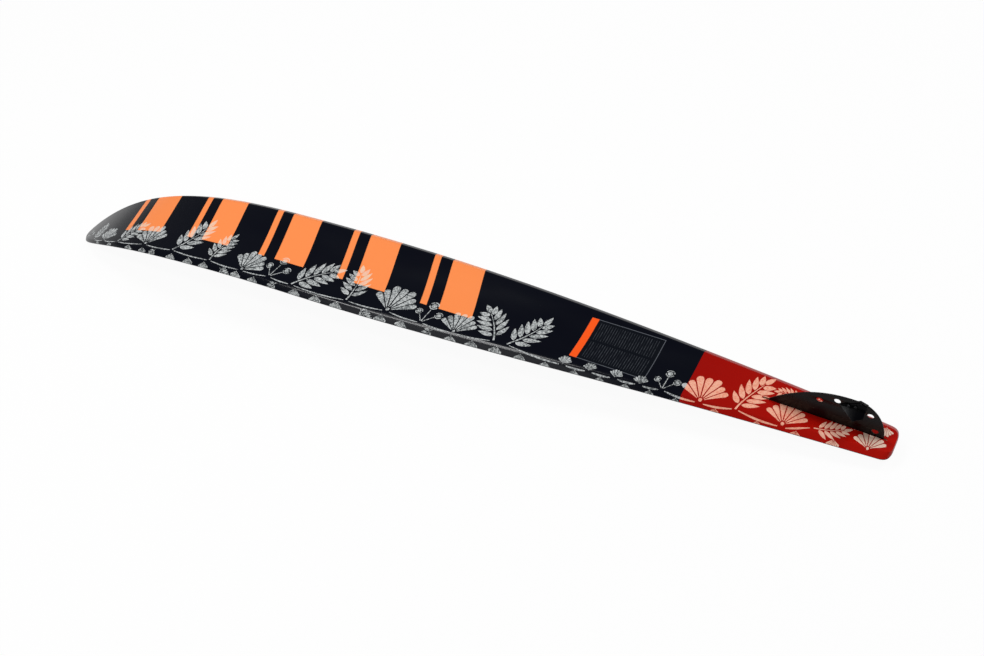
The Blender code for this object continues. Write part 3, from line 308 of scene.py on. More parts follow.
class Bench:
    """The modelling steps that the pieces share."""

    @staticmethod
    def pick(*pieces: Piece) -> None:
        """Select only these pieces and make the first one active."""
        bpy.ops.object.select_all(action="DESELECT")
        for piece in pieces:
            piece.select_set(True)
        bpy.context.view_layer.objects.active = pieces[0]

    @staticmethod
    @contextmanager
    def editing(piece: Piece, mode: str = "FACE") -> Iterator[bmesh.types.BMesh]:
        """Open a piece in edit mode with nothing selected.

        Args:
            piece: The piece to edit.
            mode: What is selected: VERT, EDGE or FACE.

        Yields:
            The edit mesh.
        """
        Bench.pick(piece)
        bpy.ops.object.mode_set(mode="EDIT")
        bpy.ops.mesh.select_mode(type=mode)
        bpy.ops.mesh.select_all(action="DESELECT")
        yield bmesh.from_edit_mesh(piece.data)
        bpy.ops.object.mode_set(mode="OBJECT")

    @staticmethod
    def select_faces(piece: Piece, test: Callable[[bmesh.types.BMFace], bool]) -> None:
        """Select the faces of an open piece that pass a test, and no others."""
        mesh = bmesh.from_edit_mesh(piece.data)
        bpy.ops.mesh.select_all(action="DESELECT")
        for face in mesh.faces:
            face.select_set(test(face))
        bmesh.update_edit_mesh(piece.data)

    @staticmethod
    def named(name: str) -> Piece:
        """Return the piece that was just added, under its name."""
        piece = bpy.context.active_object
        piece.name = name
        piece.data.name = name
        return piece

    @staticmethod
    def settle(piece: Piece, place: Matrix) -> Piece:
        """Put a piece's place into its mesh, so that its object stays at the origin."""
        piece.data.transform(place @ piece.matrix_basis)
        piece.matrix_basis = Matrix.Identity(4)
        if place.determinant() < 0.0:
            piece.data.flip_normals()
        return piece

    @staticmethod
    def hang(name: str, data: bpy.types.ID) -> Piece:
        """Add an object with its data to the scene."""
        made = bpy.data.objects.new(name, data)
        bpy.context.scene.collection.objects.link(made)
        return made

    @staticmethod
    def copied(pattern: Piece, name: str, place: Matrix) -> Piece:
        """Return a copy of a piece with its own mesh, at a place."""
        piece = Bench.hang(name, pattern.data.copy())
        piece.data.name = name
        return Bench.settle(piece, place)

    @staticmethod
    def remove(*pieces: Piece) -> None:
        """Take pieces out of the scene."""
        for piece in pieces:
            bpy.data.objects.remove(piece, do_unlink=True)

    @staticmethod
    def merge(distance: float) -> None:
        """Select the whole open piece and merge its doubles."""
        bpy.ops.mesh.select_all(action="SELECT")
        bpy.ops.mesh.remove_doubles(threshold=distance)

    @staticmethod
    def bisect(axis: int, value: float, **settings: bool) -> None:
        """Cut the whole open piece by a plane across one axis."""
        place, normal = [0.0, 0.0, 0.0], [0.0, 0.0, 0.0]
        place[axis], normal[axis] = value, 1.0
        bpy.ops.mesh.select_all(action="SELECT")
        bpy.ops.mesh.bisect(plane_co=place, plane_no=normal, **settings)

    @staticmethod
    def finish(piece: Piece, kind: str, **settings: object) -> None:
        """Add one modifier to a piece and apply it."""
        Bench.pick(piece)
        modifier = piece.modifiers.new(kind.lower(), kind)
        for key, value in settings.items():
            setattr(modifier, key, value)
        bpy.ops.object.modifier_apply(modifier=modifier.name)

    @staticmethod
    def soften(piece: Piece, width: float, segments: int = 2, angle: float = 30.0) -> None:
        """Bevel a piece's sharp edges.

        Args:
            piece: The piece to soften.
            width: The bevel's width in metres.
            segments: How many faces round the bevel.
            angle: The least angle in degrees of an edge that is softened.
        """
        settings = {"limit_method": "ANGLE", "harden_normals": False, "miter_outer": "MITER_ARC"}
        angle = math.radians(angle)
        Bench.finish(piece, "BEVEL", width=width, segments=segments, angle_limit=angle, **settings)

    @staticmethod
    def carve(piece: Piece, *tools: Piece) -> None:
        """Cut tools out of a piece and remove them."""
        for tool in tools:
            Bench.finish(piece, "BOOLEAN", operation="DIFFERENCE", solver="EXACT", object=tool)
        Bench.remove(*tools)

    @staticmethod
    def smooth(piece: Piece, angle: float = 30.0) -> None:
        """Shade a piece smooth up to its sharp edges."""
        Bench.pick(piece)
        bpy.ops.object.shade_smooth_by_angle(angle=math.radians(angle))

    @staticmethod
    def outward(piece: Piece) -> None:
        """Turn a closed piece's faces outwards."""
        with Bench.editing(piece):
            bpy.ops.mesh.select_all(action="SELECT")
            bpy.ops.mesh.normals_make_consistent(inside=False)

    @staticmethod
    def rod(
        name: str, start: Sequence[float], end: Sequence[float], radius: float, sides: int = 32
    ) -> Piece:
        """Add a closed round bar, or a prism of few sides.

        Args:
            name: The piece's name.
            start: The middle of one end.
            end: The middle of the other end.
            radius: The bar's radius.
            sides: How many faces go round it.

        Returns:
            The bar, with its place in its mesh.
        """
        start, end = Vector(start), Vector(end)
        along = end - start
        bpy.ops.object.select_all(action="DESELECT")
        bpy.ops.mesh.primitive_cylinder_add(vertices=sides, radius=radius, depth=along.length)
        return Bench.settle(Bench.named(name), facing(0.5 * (start + end), along))

    @staticmethod
    def block(name: str, low: Sequence[float], high: Sequence[float]) -> Piece:
        """Add a closed box between two corners."""
        low, high = Vector(low), Vector(high)
        bpy.ops.object.select_all(action="DESELECT")
        bpy.ops.mesh.primitive_cube_add(size=1.0)
        size = Matrix.Diagonal((*(high - low), 1.0))
        return Bench.settle(Bench.named(name), Matrix.Translation(0.5 * (low + high)) @ size)

    @staticmethod
    def wrap(name: str, rings: Sequence[Sequence[Vector]]) -> Piece:
        """Wrap a flat grid into a closed body through rings of points.

        Args:
            name: The piece's name.
            rings: Rings of equal count, in order along the body.

        Returns:
            The body, with both ends closed.
        """
        rows, columns = len(rings), len(rings[0]) + 1
        bpy.ops.object.select_all(action="DESELECT")
        bpy.ops.mesh.primitive_grid_add(x_subdivisions=rows - 1, y_subdivisions=columns - 1, size=1.0)
        piece = Bench.named(name)
        for vertex in piece.data.vertices:
            row = round((vertex.co.x + 0.5) * (rows - 1))
            column = round((vertex.co.y + 0.5) * (columns - 1))
            vertex.co = rings[row][column % (columns - 1)]
        with Bench.editing(piece, "VERT"):
            Bench.merge(FINE_MERGE)
            bpy.ops.mesh.select_all(action="DESELECT")
            bpy.ops.mesh.select_mode(type="EDGE")
            bpy.ops.mesh.select_non_manifold(extend=False)
            bpy.ops.mesh.fill_holes(sides=0)
            bpy.ops.mesh.select_all(action="SELECT")
            bpy.ops.mesh.normals_make_consistent(inside=False)
        return piece

    @staticmethod
    def drawn(name: str, outlines: Sequence[Sequence[Point]]) -> Piece:
        """Add a flat filled curve of closed outlines, those inside others as holes."""
        curve = bpy.data.curves.new(name, "CURVE")
        curve.dimensions = "2D"
        curve.fill_mode = "BOTH"
        for outline in outlines:
            spline = curve.splines.new("POLY")
            spline.points.add(len(outline) - 1)
            for point, (x, y) in zip(spline.points, outline):
                point.co = (x, y, 0.0, 1.0)
            spline.use_cyclic_u = True
        return Bench.hang(name, curve)

    @staticmethod
    def meshed(piece: Piece, distance: float) -> Piece:
        """Make a curve a mesh and merge its doubles."""
        Bench.pick(piece)
        bpy.ops.object.convert(target="MESH")
        with Bench.editing(piece, "VERT"):
            Bench.merge(distance)
        return piece

    @staticmethod
    def plate(
        name: str, outlines: Sequence[Sequence[Point]], thickness: float, round_edge: float
    ) -> Piece:
        """Add a flat plate with holes and rounded edges, in the XY plane.

        Args:
            name: The piece's name.
            outlines: The outer outline, and then the holes.
            thickness: The plate's whole thickness.
            round_edge: The radius of its rounded edges.

        Returns:
            The plate, as a closed mesh.
        """
        piece = Bench.drawn(name, outlines)
        curve = piece.data
        curve.extrude = 0.5 * thickness - round_edge
        curve.bevel_depth = round_edge
        curve.bevel_resolution = 1
        curve.offset = -round_edge
        Bench.meshed(piece, PLATE_MERGE)
        Bench.outward(piece)
        return piece


def circle(centre: Point, radius: float, steps: int = 40) -> list[Point]:
    """Return the points of a circle."""
    return [(centre[0] + radius * math.cos(t), centre[1] + radius * math.sin(t)) for t in turns(steps)]


def long_hole(centre: Point, radius: float, reach: float, angle: float = 0.0) -> list[Point]:
    """Return a slot with round ends.

    Args:
        centre: The slot's middle.
        radius: Half its width.
        reach: How far its end centres lie from its middle.
        angle: The way it runs, in radians.

    Returns:
        The outline's points.
    """
    steps = 12
    points = []
    for side in (1.0, -1.0):
        for i in range(steps + 1):
            t = math.pi * (i / steps - 0.5)
            points.append((side * (reach + radius * math.cos(t)), side * radius * math.sin(t)))
    c, s = math.cos(angle), math.sin(angle)
    return [(centre[0] + c * x - s * y, centre[1] + s * x + c * y) for x, y in points]


class Graph:
    """Builds the node tree of one material."""

    def __init__(self, name: str) -> None:
        """Start a material with one Principled shader."""
        self.material = bpy.data.materials.new(name)
        self.material.use_nodes = True
        self.tree = self.material.node_tree
        self.tree.nodes.clear()
        self.shader = self.add("ShaderNodeBsdfPrincipled")
        output = self.add("ShaderNodeOutputMaterial")
        self.tree.links.new(self.shader.outputs["BSDF"], output.inputs["Surface"])

    def add(self, kind: str, **settings: object) -> bpy.types.Node:
        """Add a node and set its properties."""
        node = self.tree.nodes.new(kind)
        for key, value in settings.items():
            setattr(node, key, value)
        return node

    def put(self, value: Union[Value, Colour], socket: Socket) -> None:
        """Link a value to a socket, or set it there."""
        if isinstance(value, Socket):
            self.tree.links.new(value, socket)
        elif isinstance(value, tuple) and socket.type == "RGBA":
            socket.default_value = (*value, 1.0)
        else:
            socket.default_value = value

    def set(self, **values: object) -> None:
        """Set or link inputs of the shader, with spaces written as underscores."""
        for key, value in values.items():
            self.put(value, self.shader.inputs[key.replace("_", " ")])

    def math(self, operation: str, *values: Value, clamp: bool = False) -> Socket:
        """Return the result of a Math node."""
        node = self.add("ShaderNodeMath", operation=operation, use_clamp=clamp)
        for value, socket in zip(values, node.inputs):
            self.put(value, socket)
        return node.outputs[0]

    def mix(self, share: Value, low: object, high: object) -> Socket:
        """Return a mix of two colours."""
        node = self.add("ShaderNodeMix", data_type="RGBA")
        self.put(share, node.inputs["Factor"])
        self.put(low, node.inputs[6])
        self.put(high, node.inputs[7])
        return node.outputs[2]

    def times(self, first: Value, *others: Value) -> Value:
        """Return the product of masks."""
        for other in others:
            first = self.math("MULTIPLY", first, other)
        return first

    def span(
        self, value: Value, start: float, end: float, low: float = 0.0, high: float = 1.0
    ) -> Socket:
        """Return value mapped from a range to another, and clamped to it."""
        node = self.add("ShaderNodeMapRange", clamp=True)
        for number, socket in zip((value, start, end, low, high), node.inputs):
            self.put(number, socket)
        return node.outputs[0]

    def above(self, value: Value, limit: float, soft: float) -> Socket:
        """Return 1 where value is over a limit, with an edge of a given softness."""
        return self.span(value, limit - 0.5 * soft, limit + 0.5 * soft)

    def below(self, value: Value, limit: float, soft: float) -> Socket:
        """Return 1 where value is under a limit."""
        return self.math("SUBTRACT", 1.0, self.above(value, limit, soft))

    def within(self, value: Value, low: float, high: float, soft: float) -> Socket:
        """Return 1 where value lies between two limits."""
        return self.times(self.above(value, low, soft), self.below(value, high, soft))

    def box(self, x: Value, y: Value, x_ends: Point, y_ends: Point, soft: float) -> Socket:
        """Return 1 in a box of the plane."""
        return self.times(self.within(x, *x_ends, soft), self.within(y, *y_ends, soft))

    def reading(self, kind: str, vector: Socket, **inputs: object) -> bpy.types.Node:
        """Add a node that reads a vector, and set its other inputs."""
        node = self.add(kind)
        self.put(vector, node.inputs["Vector"])
        for key, value in inputs.items():
            node.inputs[key].default_value = value
        return node

    def place(self) -> Socket:
        """Return the shared frame's coordinates."""
        return self.add("ShaderNodeTexCoord").outputs["Object"]

    def turned(self, matrix: Matrix) -> Socket:
        """Return the coordinates of another frame, given its matrix in the shared frame."""
        back = matrix.inverted()
        steps = {"Location": back.to_translation(), "Rotation": back.to_euler("XYZ")}
        return self.reading("ShaderNodeMapping", self.place(), **steps).outputs[0]

    def stretched(self, vector: Socket, scale: tuple[float, float, float]) -> Socket:
        """Return coordinates scaled along each axis."""
        return self.reading("ShaderNodeMapping", vector, Scale=scale).outputs[0]

    def split(self, vector: Socket) -> tuple[Socket, ...]:
        """Return the x, y and z of a vector."""
        node = self.add("ShaderNodeSeparateXYZ")
        self.put(vector, node.inputs[0])
        return tuple(node.outputs)

    def noise(self, vector: Socket, scale: float, detail: float = 2.0, rough: float = 0.5) -> Socket:
        """Return the value of a Noise Texture."""
        sizes = {"Scale": scale, "Detail": detail, "Roughness": rough}
        return self.reading("ShaderNodeTexNoise", vector, **sizes).outputs[0]

    def uneven(self, cloud: Value, roughness: float, least: float, most: float) -> Socket:
        """Return a roughness that a noise varies between two shares of it."""
        return self.span(cloud, 0.3, 0.7, least * roughness, most * roughness)

    def edge_wear(self, place: Socket, along: float, scale: float, patchy: Point, near: float) -> Socket:
        """Return 1 on the scuffs near the ski's edge.

        Args:
            place: The coordinates of the ski's frame.
            along: How much the scuffs are squeezed along the ski; less than 1 draws them out.
            scale: The scale of their noise.
            patchy: Where the noise turns into scuffs.
            near: How near the edge they begin, from 0 to 1 at the edge.

        Returns:
            The mask.
        """
        scuffs = self.noise(self.stretched(place, (along, 1.0, 1.0)), scale, 5.0, 0.7)
        edge = self.add("ShaderNodeAttribute", attribute_name="edge").outputs["Fac"]
        return self.math("MULTIPLY", self.span(scuffs, *patchy), self.span(edge, near, 1.0), clamp=True)

    def rubbed(self, radius: float) -> Socket:
        """Return 1 along the outer edges that hands and water rub, fading over a radius in metres."""
        rim = self.add("ShaderNodeBevel", samples=4)
        rim.inputs["Radius"].default_value = radius
        turn = self.add("ShaderNodeVectorMath", operation="DOT_PRODUCT")
        self.put(rim.outputs[0], turn.inputs[0])
        self.put(self.add("ShaderNodeNewGeometry").outputs["Normal"], turn.inputs[1])
        return self.span(turn.outputs["Value"], 0.995, 0.90)

    def bump(self, height: Value, distance: float, under: Value = None) -> Socket:
        """Return a normal raised by a height in metres times distance."""
        node = self.add("ShaderNodeBump")
        node.inputs["Strength"].default_value = 1.0
        node.inputs["Distance"].default_value = distance
        self.put(height, node.inputs["Height"])
        if under is not None:
            self.put(under, node.inputs["Normal"])
        return node.outputs[0]


@dataclass(frozen=True)
class MetalFinish:
    """A metal or anodised surface with a fine grain and rubbed edges."""

    name: str
    colour: Colour
    worn: Colour
    metallic: float = 1.0
    roughness: float = 0.35
    grain: tuple[float, float, float] = (1.0, 1.0, 1.0)
    grain_height: float = 0.00001
    specular: float = 0.5
    rub: float = 0.0007
    cloud_scale: float = 38.0
    grain_scale: float = 2600.0
    nick_scale: float = 320.0

    def build(self) -> bpy.types.Material:
        """Return the material."""
        graph = Graph(self.name)
        place = graph.place()
        cloud = graph.noise(place, self.cloud_scale, 4.0, 0.6)
        grain = graph.noise(graph.stretched(place, self.grain), self.grain_scale, 3.0, 0.6)
        nicks = graph.span(graph.noise(place, self.nick_scale, 4.0, 0.7), 0.38, 0.60, 0.15, 0.85)
        rim = graph.times(graph.rubbed(self.rub), nicks)
        worn = graph.math("ADD", graph.span(cloud, 0.56, 0.74, 0.0, 0.35), rim, clamp=True)
        graph.set(
            Base_Color=graph.mix(worn, self.colour, self.worn),
            Metallic=self.metallic,
            Roughness=graph.uneven(cloud, self.roughness, 0.85, 1.2),
            Specular_IOR_Level=self.specular,
            Normal=graph.bump(grain, self.grain_height),
        )
        return graph.material


@dataclass(frozen=True)
class FoamFinish:
    """The rigid foam inside the ski, with its open cells, whose pits are painted darker as shade."""

    name: str = "rigid_foam"
    colour: Colour = (0.68, 0.60, 0.40)
    # cell is painted shade: the darker colour in the pits of the cells
    cell: Colour = (0.50, 0.42, 0.26)
    cell_scale: float = 900.0
    cell_depth: float = 0.0003

    def build(self) -> bpy.types.Material:
        """Return the material."""
        graph = Graph(self.name)
        cells = graph.reading("ShaderNodeTexVoronoi", graph.place(), Scale=self.cell_scale)
        # Painted shade: the colour darkens towards each cell's middle, where the bump sinks into a pit.
        deep = graph.span(cells.outputs["Distance"], 0.1, 0.6)
        graph.set(
            Base_Color=graph.mix(deep, self.cell, self.colour),
            Roughness=graph.span(deep, 0.0, 1.0, 0.95, 0.8),
            Normal=graph.bump(deep, self.cell_depth),
        )
        return graph.material


@dataclass(frozen=True)
class LaminateFinish:
    """The near-black laminate of the deck and the ski's sides."""

    name: str = "deck_laminate_gloss"
    colour: Colour = (0.006, 0.006, 0.009)
    scuff: Colour = (0.030, 0.030, 0.036)
    tow_colour: Colour = (0.013, 0.013, 0.016)
    tow: float = 0.0028
    tow_angle: float = 45.0
    roughness: float = 0.22
    weave_height: float = 0.000008

    def build(self) -> bpy.types.Material:
        """Return the material."""
        graph = Graph(self.name)
        place = graph.turned(SkiPlace().ski())
        slant = graph.turned(SkiPlace().ski() @ Matrix.Rotation(math.radians(self.tow_angle), 4, "Z"))
        flat = graph.stretched(slant, (1.0, 1.0, 0.0))
        tows = graph.reading("ShaderNodeTexChecker", flat, Scale=1.0 / self.tow).outputs["Fac"]
        weave = graph.noise(graph.stretched(place, (0.08, 1.0, 1.0)), 900.0, 2.0)
        worn = graph.edge_wear(place, 0.2, 120.0, (0.52, 0.66), 0.5)
        graph.set(
            Base_Color=graph.mix(worn, graph.mix(tows, self.colour, self.tow_colour), self.scuff),
            Roughness=graph.uneven(weave, self.roughness, 0.85, 1.15),
            Coat_Weight=0.4,
            Coat_Roughness=0.06,
            Normal=graph.bump(weave, self.weave_height),
        )
        return graph.material


@dataclass(frozen=True)
class PrintLayout:
    """Where the printed bars, the red tail and the label place lie on the base."""

    red_end: float = 0.3138
    bars_from: float = 0.700
    bars_to: float = 1.530
    pitch: float = 0.1734
    wide: float = 0.066
    thin: float = 0.013
    thin_gap: float = 0.024
    lean: float = 0.30
    near_end: float = 0.031
    label_x: tuple[float, float] = (0.3773, 0.5066)
    label_y: tuple[float, float] = (-0.0450, 0.0424)
    label_bar: float = 0.0125
    label_line: float = 0.0011
    label_margin: float = 0.006
    label_middle: tuple[float, float] = (-0.004, 0.001)
    hatch: float = 0.0042
    hatch_share: float = 0.22
    wide_from: float = 0.002
    bar_blur: float = 0.0006
    label_blur: float = 0.0004
    ground_blur: float = 0.0008


@dataclass(frozen=True)
class PrintFinish:
    """The glossy printed base: navy, orange bars, red tail and a plain label place."""

    name: str = "printed_base"
    layout: PrintLayout = PrintLayout()
    navy: Colour = (0.0014, 0.0020, 0.0060)
    orange: Colour = (1.0, 0.283, 0.082)
    red_front: Colour = (0.330, 0.0030, 0.0010)
    red_tail: Colour = (0.450, 0.0060, 0.0020)
    label: Colour = (0.0032, 0.0045, 0.0080)
    label_grey: Colour = (0.110, 0.120, 0.140)
    label_orange: Colour = (1.0, 0.105, 0.012)
    worn_colour: Colour = (0.16, 0.16, 0.18)
    worn_share: float = 0.35
    roughness: float = 0.16
    specular: float = 0.24

    def bars(self, graph: Graph, x: Value, y: Value) -> Socket:
        """Return 1 on the slanted bars.

        Args:
            graph: The material's graph.
            x: The place along the ski.
            y: The place across it.

        Returns:
            The mask.
        """
        plan, soft = self.layout, self.layout.bar_blur
        slanted = graph.math("MULTIPLY_ADD", y, plan.lean, x)
        period = graph.math("SUBTRACT", slanted, plan.bars_from)
        period = graph.math("MODULO", graph.math("ADD", period, 10.0 * plan.pitch), plan.pitch)
        start = plan.wide + plan.thin_gap
        wide = graph.within(period, plan.wide_from, plan.wide, soft)
        thin = graph.within(period, start, start + plan.thin, soft)
        mark = graph.math("ADD", wide, thin, clamp=True)
        reach = graph.within(slanted, plan.bars_from, plan.bars_to, soft)
        return graph.times(mark, reach, graph.below(y, plan.near_end, soft))

    def label_place(self, graph: Graph, x: Value, y: Value, ground: Value) -> Socket:
        """Return the ground colour with the label place on it."""
        plan, soft = self.layout, self.layout.label_blur
        (x0, x1), (y0, y1) = plan.label_x, plan.label_y
        line, margin, (middle_low, middle_high) = plan.label_line, plan.label_margin, plan.label_middle
        inside = graph.box(x, y, (x0, x1), (y0, y1), soft)
        core = graph.box(x, y, (x0 + line, x1 - line), (y0 + line, y1 - line), soft)
        frame_line = graph.math("SUBTRACT", inside, core, clamp=True)
        bar = graph.times(inside, graph.above(x, x1 - plan.label_bar, soft))
        rows = graph.math("MODULO", graph.math("SUBTRACT", x, x0), plan.hatch)
        rows = graph.within(rows, 0.0, plan.hatch_share * plan.hatch, soft)
        columns = graph.within(y, y0 + margin, middle_low, soft)
        columns = graph.math("ADD", columns, graph.within(y, middle_high, y1 - margin, soft), clamp=True)
        span = graph.within(x, x0 + margin, x1 - plan.label_bar - margin, soft)
        colour = graph.mix(inside, ground, self.label)
        blots = graph.noise(graph.stretched(graph.place(), (1.0, 0.4, 1.0)), 260.0, 2.0)
        ink = graph.span(blots, 0.36, 0.62, 0.10, 0.50)
        colour = graph.mix(graph.times(rows, columns, span, ink), colour, self.label_grey)
        colour = graph.mix(frame_line, colour, self.label_grey)
        return graph.mix(bar, colour, self.label_orange)

    def build(self) -> bpy.types.Material:
        """Return the material."""
        graph = Graph(self.name)
        place = graph.turned(SkiPlace().ski())
        x, y, _ = graph.split(place)
        cloud = graph.noise(graph.stretched(place, (0.3, 1.0, 1.0)), 14.0, 3.0, 0.5)
        red = graph.mix(graph.span(x, 0.0, self.layout.red_end), self.red_tail, self.red_front)
        navy = graph.mix(graph.span(cloud, 0.35, 0.7, 0.0, 0.35), self.navy, self.label)
        ground = graph.mix(graph.above(x, self.layout.red_end, self.layout.ground_blur), red, navy)
        ground = graph.mix(self.bars(graph, x, y), ground, self.orange)
        colour = self.label_place(graph, x, y, ground)
        worn = graph.edge_wear(place, 0.15, 260.0, (0.55, 0.68), 0.75)
        fine = graph.noise(place, 700.0, 2.0)
        graph.set(
            Base_Color=graph.mix(graph.times(worn, self.worn_share), colour, self.worn_colour),
            Roughness=graph.uneven(cloud, self.roughness, 0.8, 1.25),
            Specular_IOR_Level=self.specular,
            Normal=graph.bump(fine, 0.000004),
        )
        return graph.material


@dataclass(frozen=True)
class MotifFinish:
    """The mottled print of the motifs: grey on navy, cream on orange, peach on red."""

    name: str = "printed_motifs"
    ground: PrintFinish = PrintFinish()
    grey: Colour = (0.120, 0.132, 0.137)
    grey_light: Colour = (0.570, 0.595, 0.595)
    cream: Colour = (0.860, 0.620, 0.440)
    peach: Colour = (0.850, 0.300, 0.195)
    peach_light: Colour = (0.940, 0.475, 0.335)
    tail_cream: Colour = (0.960, 0.690, 0.550)
    mottle_scale: float = 330.0
    cloud_scale: float = 60.0
    cloud_share: float = 0.25
    roughness: tuple[float, float] = (0.16, 0.24)

    def build(self) -> bpy.types.Material:
        """Return the material."""
        graph = Graph(self.name)
        place = graph.turned(SkiPlace().ski())
        x, y, _ = graph.split(place)
        plan = self.ground.layout
        mottle = graph.noise(place, self.mottle_scale, 4.0, 0.7)
        cloud = graph.times(graph.noise(place, self.cloud_scale, 3.0, 0.6), self.cloud_share)
        both = graph.math("MULTIPLY_ADD", mottle, 1.0 - self.cloud_share, cloud)
        fleck = graph.span(both, 0.44, 0.55)
        grey = graph.mix(fleck, self.grey, self.grey_light)
        peach = graph.mix(graph.span(both, 0.42, 0.54), self.peach, self.peach_light)
        tail = graph.mix(graph.span(x, 0.03, 0.13), self.tail_cream, peach)
        colour = graph.mix(graph.above(x, plan.red_end, plan.ground_blur), tail, grey)
        over = self.ground.bars(graph, x, y)
        colour = graph.mix(over, colour, graph.mix(fleck, self.cream, self.peach_light))
        graph.set(
            Base_Color=colour,
            Roughness=graph.span(fleck, 0.0, 1.0, *self.roughness),
            Specular_IOR_Level=self.ground.specular,
            Normal=graph.bump(mottle, 0.00001),
        )
        return graph.material


class LaminateShell:
    """One of the ski's two laminates, wrapped through sections."""

    skin = 0.0012
    side_wall = 0.0030
    end_wall = 0.0040
    wall_share = 0.30
    just_inside = 0.999
    overrun = 0.010
    slot_radius = 0.0014
    spacing = 0.012
    tip_sections = 34
    tail_sections = 12
    least_step = 0.00012
    wear_reach = 0.004
    smooth_deg = 24.0

    def __init__(self, form: SkiForm, place: SkiPlace) -> None:
        """Keep the ski's form and place."""
        self.form = form
        self.place = place

    def stations(self) -> list[float]:
        """Return the places of the sections, with both faces of the end walls among them."""
        form, wall = self.form, self.end_wall
        walls = [wall, wall + GAP, form.length - wall - GAP, form.length - wall]
        found = form.stations(self.spacing, self.tip_sections, self.tail_sections)
        free = [x for x in found if min(abs(x - wall_at) for wall_at in walls) > self.least_step]
        return sorted(free + walls + [form.seat_reach, *form.binding])

    def inside(self, x: float) -> float:
        """Return half the width between the side walls at x."""
        half = self.form.half_width(x)
        return half - min(self.side_wall, self.wall_share * half)

    def hollow(self, x: float) -> bool:
        """Tell whether the laminate is hollowed at x."""
        return self.end_wall < x < self.form.length - self.end_wall

    @staticmethod
    def ring(outer: Sequence[Point], inner: Sequence[Point]) -> list[Point]:
        """Return the closed outline of both sides from the outlines of one side."""
        left_outer = [(-y, z) for y, z in reversed(outer) if y > 0.0]
        left_inner = [(-y, z) for y, z in reversed(inner) if y > 0.0]
        return left_outer + list(outer) + list(reversed(left_inner + list(inner)))

    def mark_edges(self, piece: Piece) -> None:
        """Store how near each vertex lies to the ski's edge, for the worn finish."""
        layer = piece.data.attributes.new("edge", "FLOAT", "POINT")
        back = self.place.ski().inverted()
        for vertex, value in zip(piece.data.vertices, layer.data):
            point = back @ vertex.co
            room = self.form.half_width(point.x) - abs(point.y)
            room = min(room, point.x, self.form.length - point.x)
            value.value = math.exp(-max(room, 0.0) / self.wear_reach)

    def wrapped(self, name: str, section: Callable[[float], list[Vector]]) -> Piece:
        """Wrap the laminate through its sections and cut the fin's slot through it."""
        piece = Bench.wrap(name, [section(x) for x in self.stations()])
        Bench.settle(piece, self.place.ski())
        rear, front = self.form.slot
        reach = 0.5 * (front - rear) - self.slot_radius
        outline = long_hole((0.5 * (rear + front), 0.0), self.slot_radius, reach)
        tool = Bench.plate("slot_tool", [outline], 6.0 * self.overrun, 0.0)
        Bench.carve(piece, Bench.settle(tool, self.place.seat()))
        return piece


class BaseShell(LaminateShell):
    """The base laminate: the shallow tunnel, the rims, the bevels and the slot."""

    name = "ski_base"
    floor_steps = 12
    bevel_shares = (0.0, 0.04, 0.10, 0.22, 0.40, 0.60, 0.80, 1.0)
    inner_shares = (0.0, 0.36, 0.70, 1.0)

    def section(self, x: float) -> list[Vector]:
        """Return the base laminate's outline at x."""
        form = self.form
        floor, bevel = form.floor_at(x), form.bevel_at(x)
        flat = form.half_width(x) - bevel
        edge = form.towards_tip(x, form.edge)
        across = [floor * i / self.floor_steps for i in range(self.floor_steps + 1)]
        across += [flat + share * bevel for share in self.bevel_shares]
        outer = [(y, -form.base_drop(x, y)) for y in across]
        inside = self.inside(x)
        inner = []
        under = [share * floor for share in self.inner_shares]
        for y in (*under, min(flat, self.just_inside * inside), inside):
            depth = max(-form.base_drop(x, y) - self.skin, GAP - edge) if self.hollow(x) else -edge
            inner.append((y, depth))
        inner.append((inside, -edge))
        height = form.base_height(x)
        return [Vector((x, y, height + z)) for y, z in self.ring(outer, inner)]

    def build(self) -> Piece:
        """Model the base laminate."""
        piece = self.wrapped(self.name, self.section)
        self.mark_edges(piece)
        Bench.smooth(piece, self.smooth_deg)
        return piece


class DeckShell(LaminateShell):
    """The deck laminate: the flat seats, the bevelled sides and the holes in it."""

    name = "ski_deck"
    bevel_run = 1.8
    flat_shares = (0.0, 0.35, 0.7)
    side_shares = (0.0, 0.05, 0.12, 0.3, 0.5, 0.7, 0.88, 0.97, 1.0)
    side_sag = 0.03
    pocket_radius = 0.00505
    screw_pocket_radius = 0.0024
    pocket_depth = 0.0113

    def section(self, x: float) -> list[Vector]:
        """Return the deck laminate's outline at x."""
        form = self.form
        half, base = form.half_width(x), form.base_height(x)
        thick = base - form.deck_height(x)
        edge, land = form.towards_tip(x, form.edge), form.towards_tip(x, form.land)
        side = thick - edge - land
        bevel = min(self.bevel_run * side, 0.5 * half)
        flat = half - bevel
        outer = [(share * flat, -thick) for share in self.flat_shares]
        for share in self.side_shares:
            rise = max(share - self.side_sag * math.sin(math.pi * min(share * 4.0, 1.0)), 0.0)
            outer.append((flat + share * bevel, -thick + side * rise))
        outer.append((half, -edge - GAP))
        inside = self.inside(x)
        inner = []
        for y in (0.0, min(flat, self.just_inside * inside), inside):
            depth = -edge - GAP
            if self.hollow(x):
                share = max(y - flat, 0.0) / bevel
                depth = min(-thick + side * share + self.skin, -edge - 2.0 * GAP)
            inner.append((y, depth))
        inner.append((inside, -edge - GAP))
        return [Vector((x, y, base + z)) for y, z in self.ring(outer, inner)]

    def build(self, pockets: Sequence[tuple[Vector, Vector, float]]) -> Piece:
        """Model the deck laminate.

        Args:
            pockets: The middle, the way and the radius of each hole, in the shared frame.

        Returns:
            The deck laminate.
        """
        piece = self.wrapped(self.name, self.section)
        for mouth, way, radius in pockets:
            start, end = mouth - self.overrun * way, mouth + self.pocket_depth * way
            Bench.carve(piece, Bench.rod("pocket_tool", start, end, radius, 32))
        self.mark_edges(piece)
        Bench.smooth(piece, self.smooth_deg)
        return piece


class MotifKind(Enum):
    """The printed motifs."""

    FAN = "fan"
    FROND = "frond"
    SEEDS = "seeds"


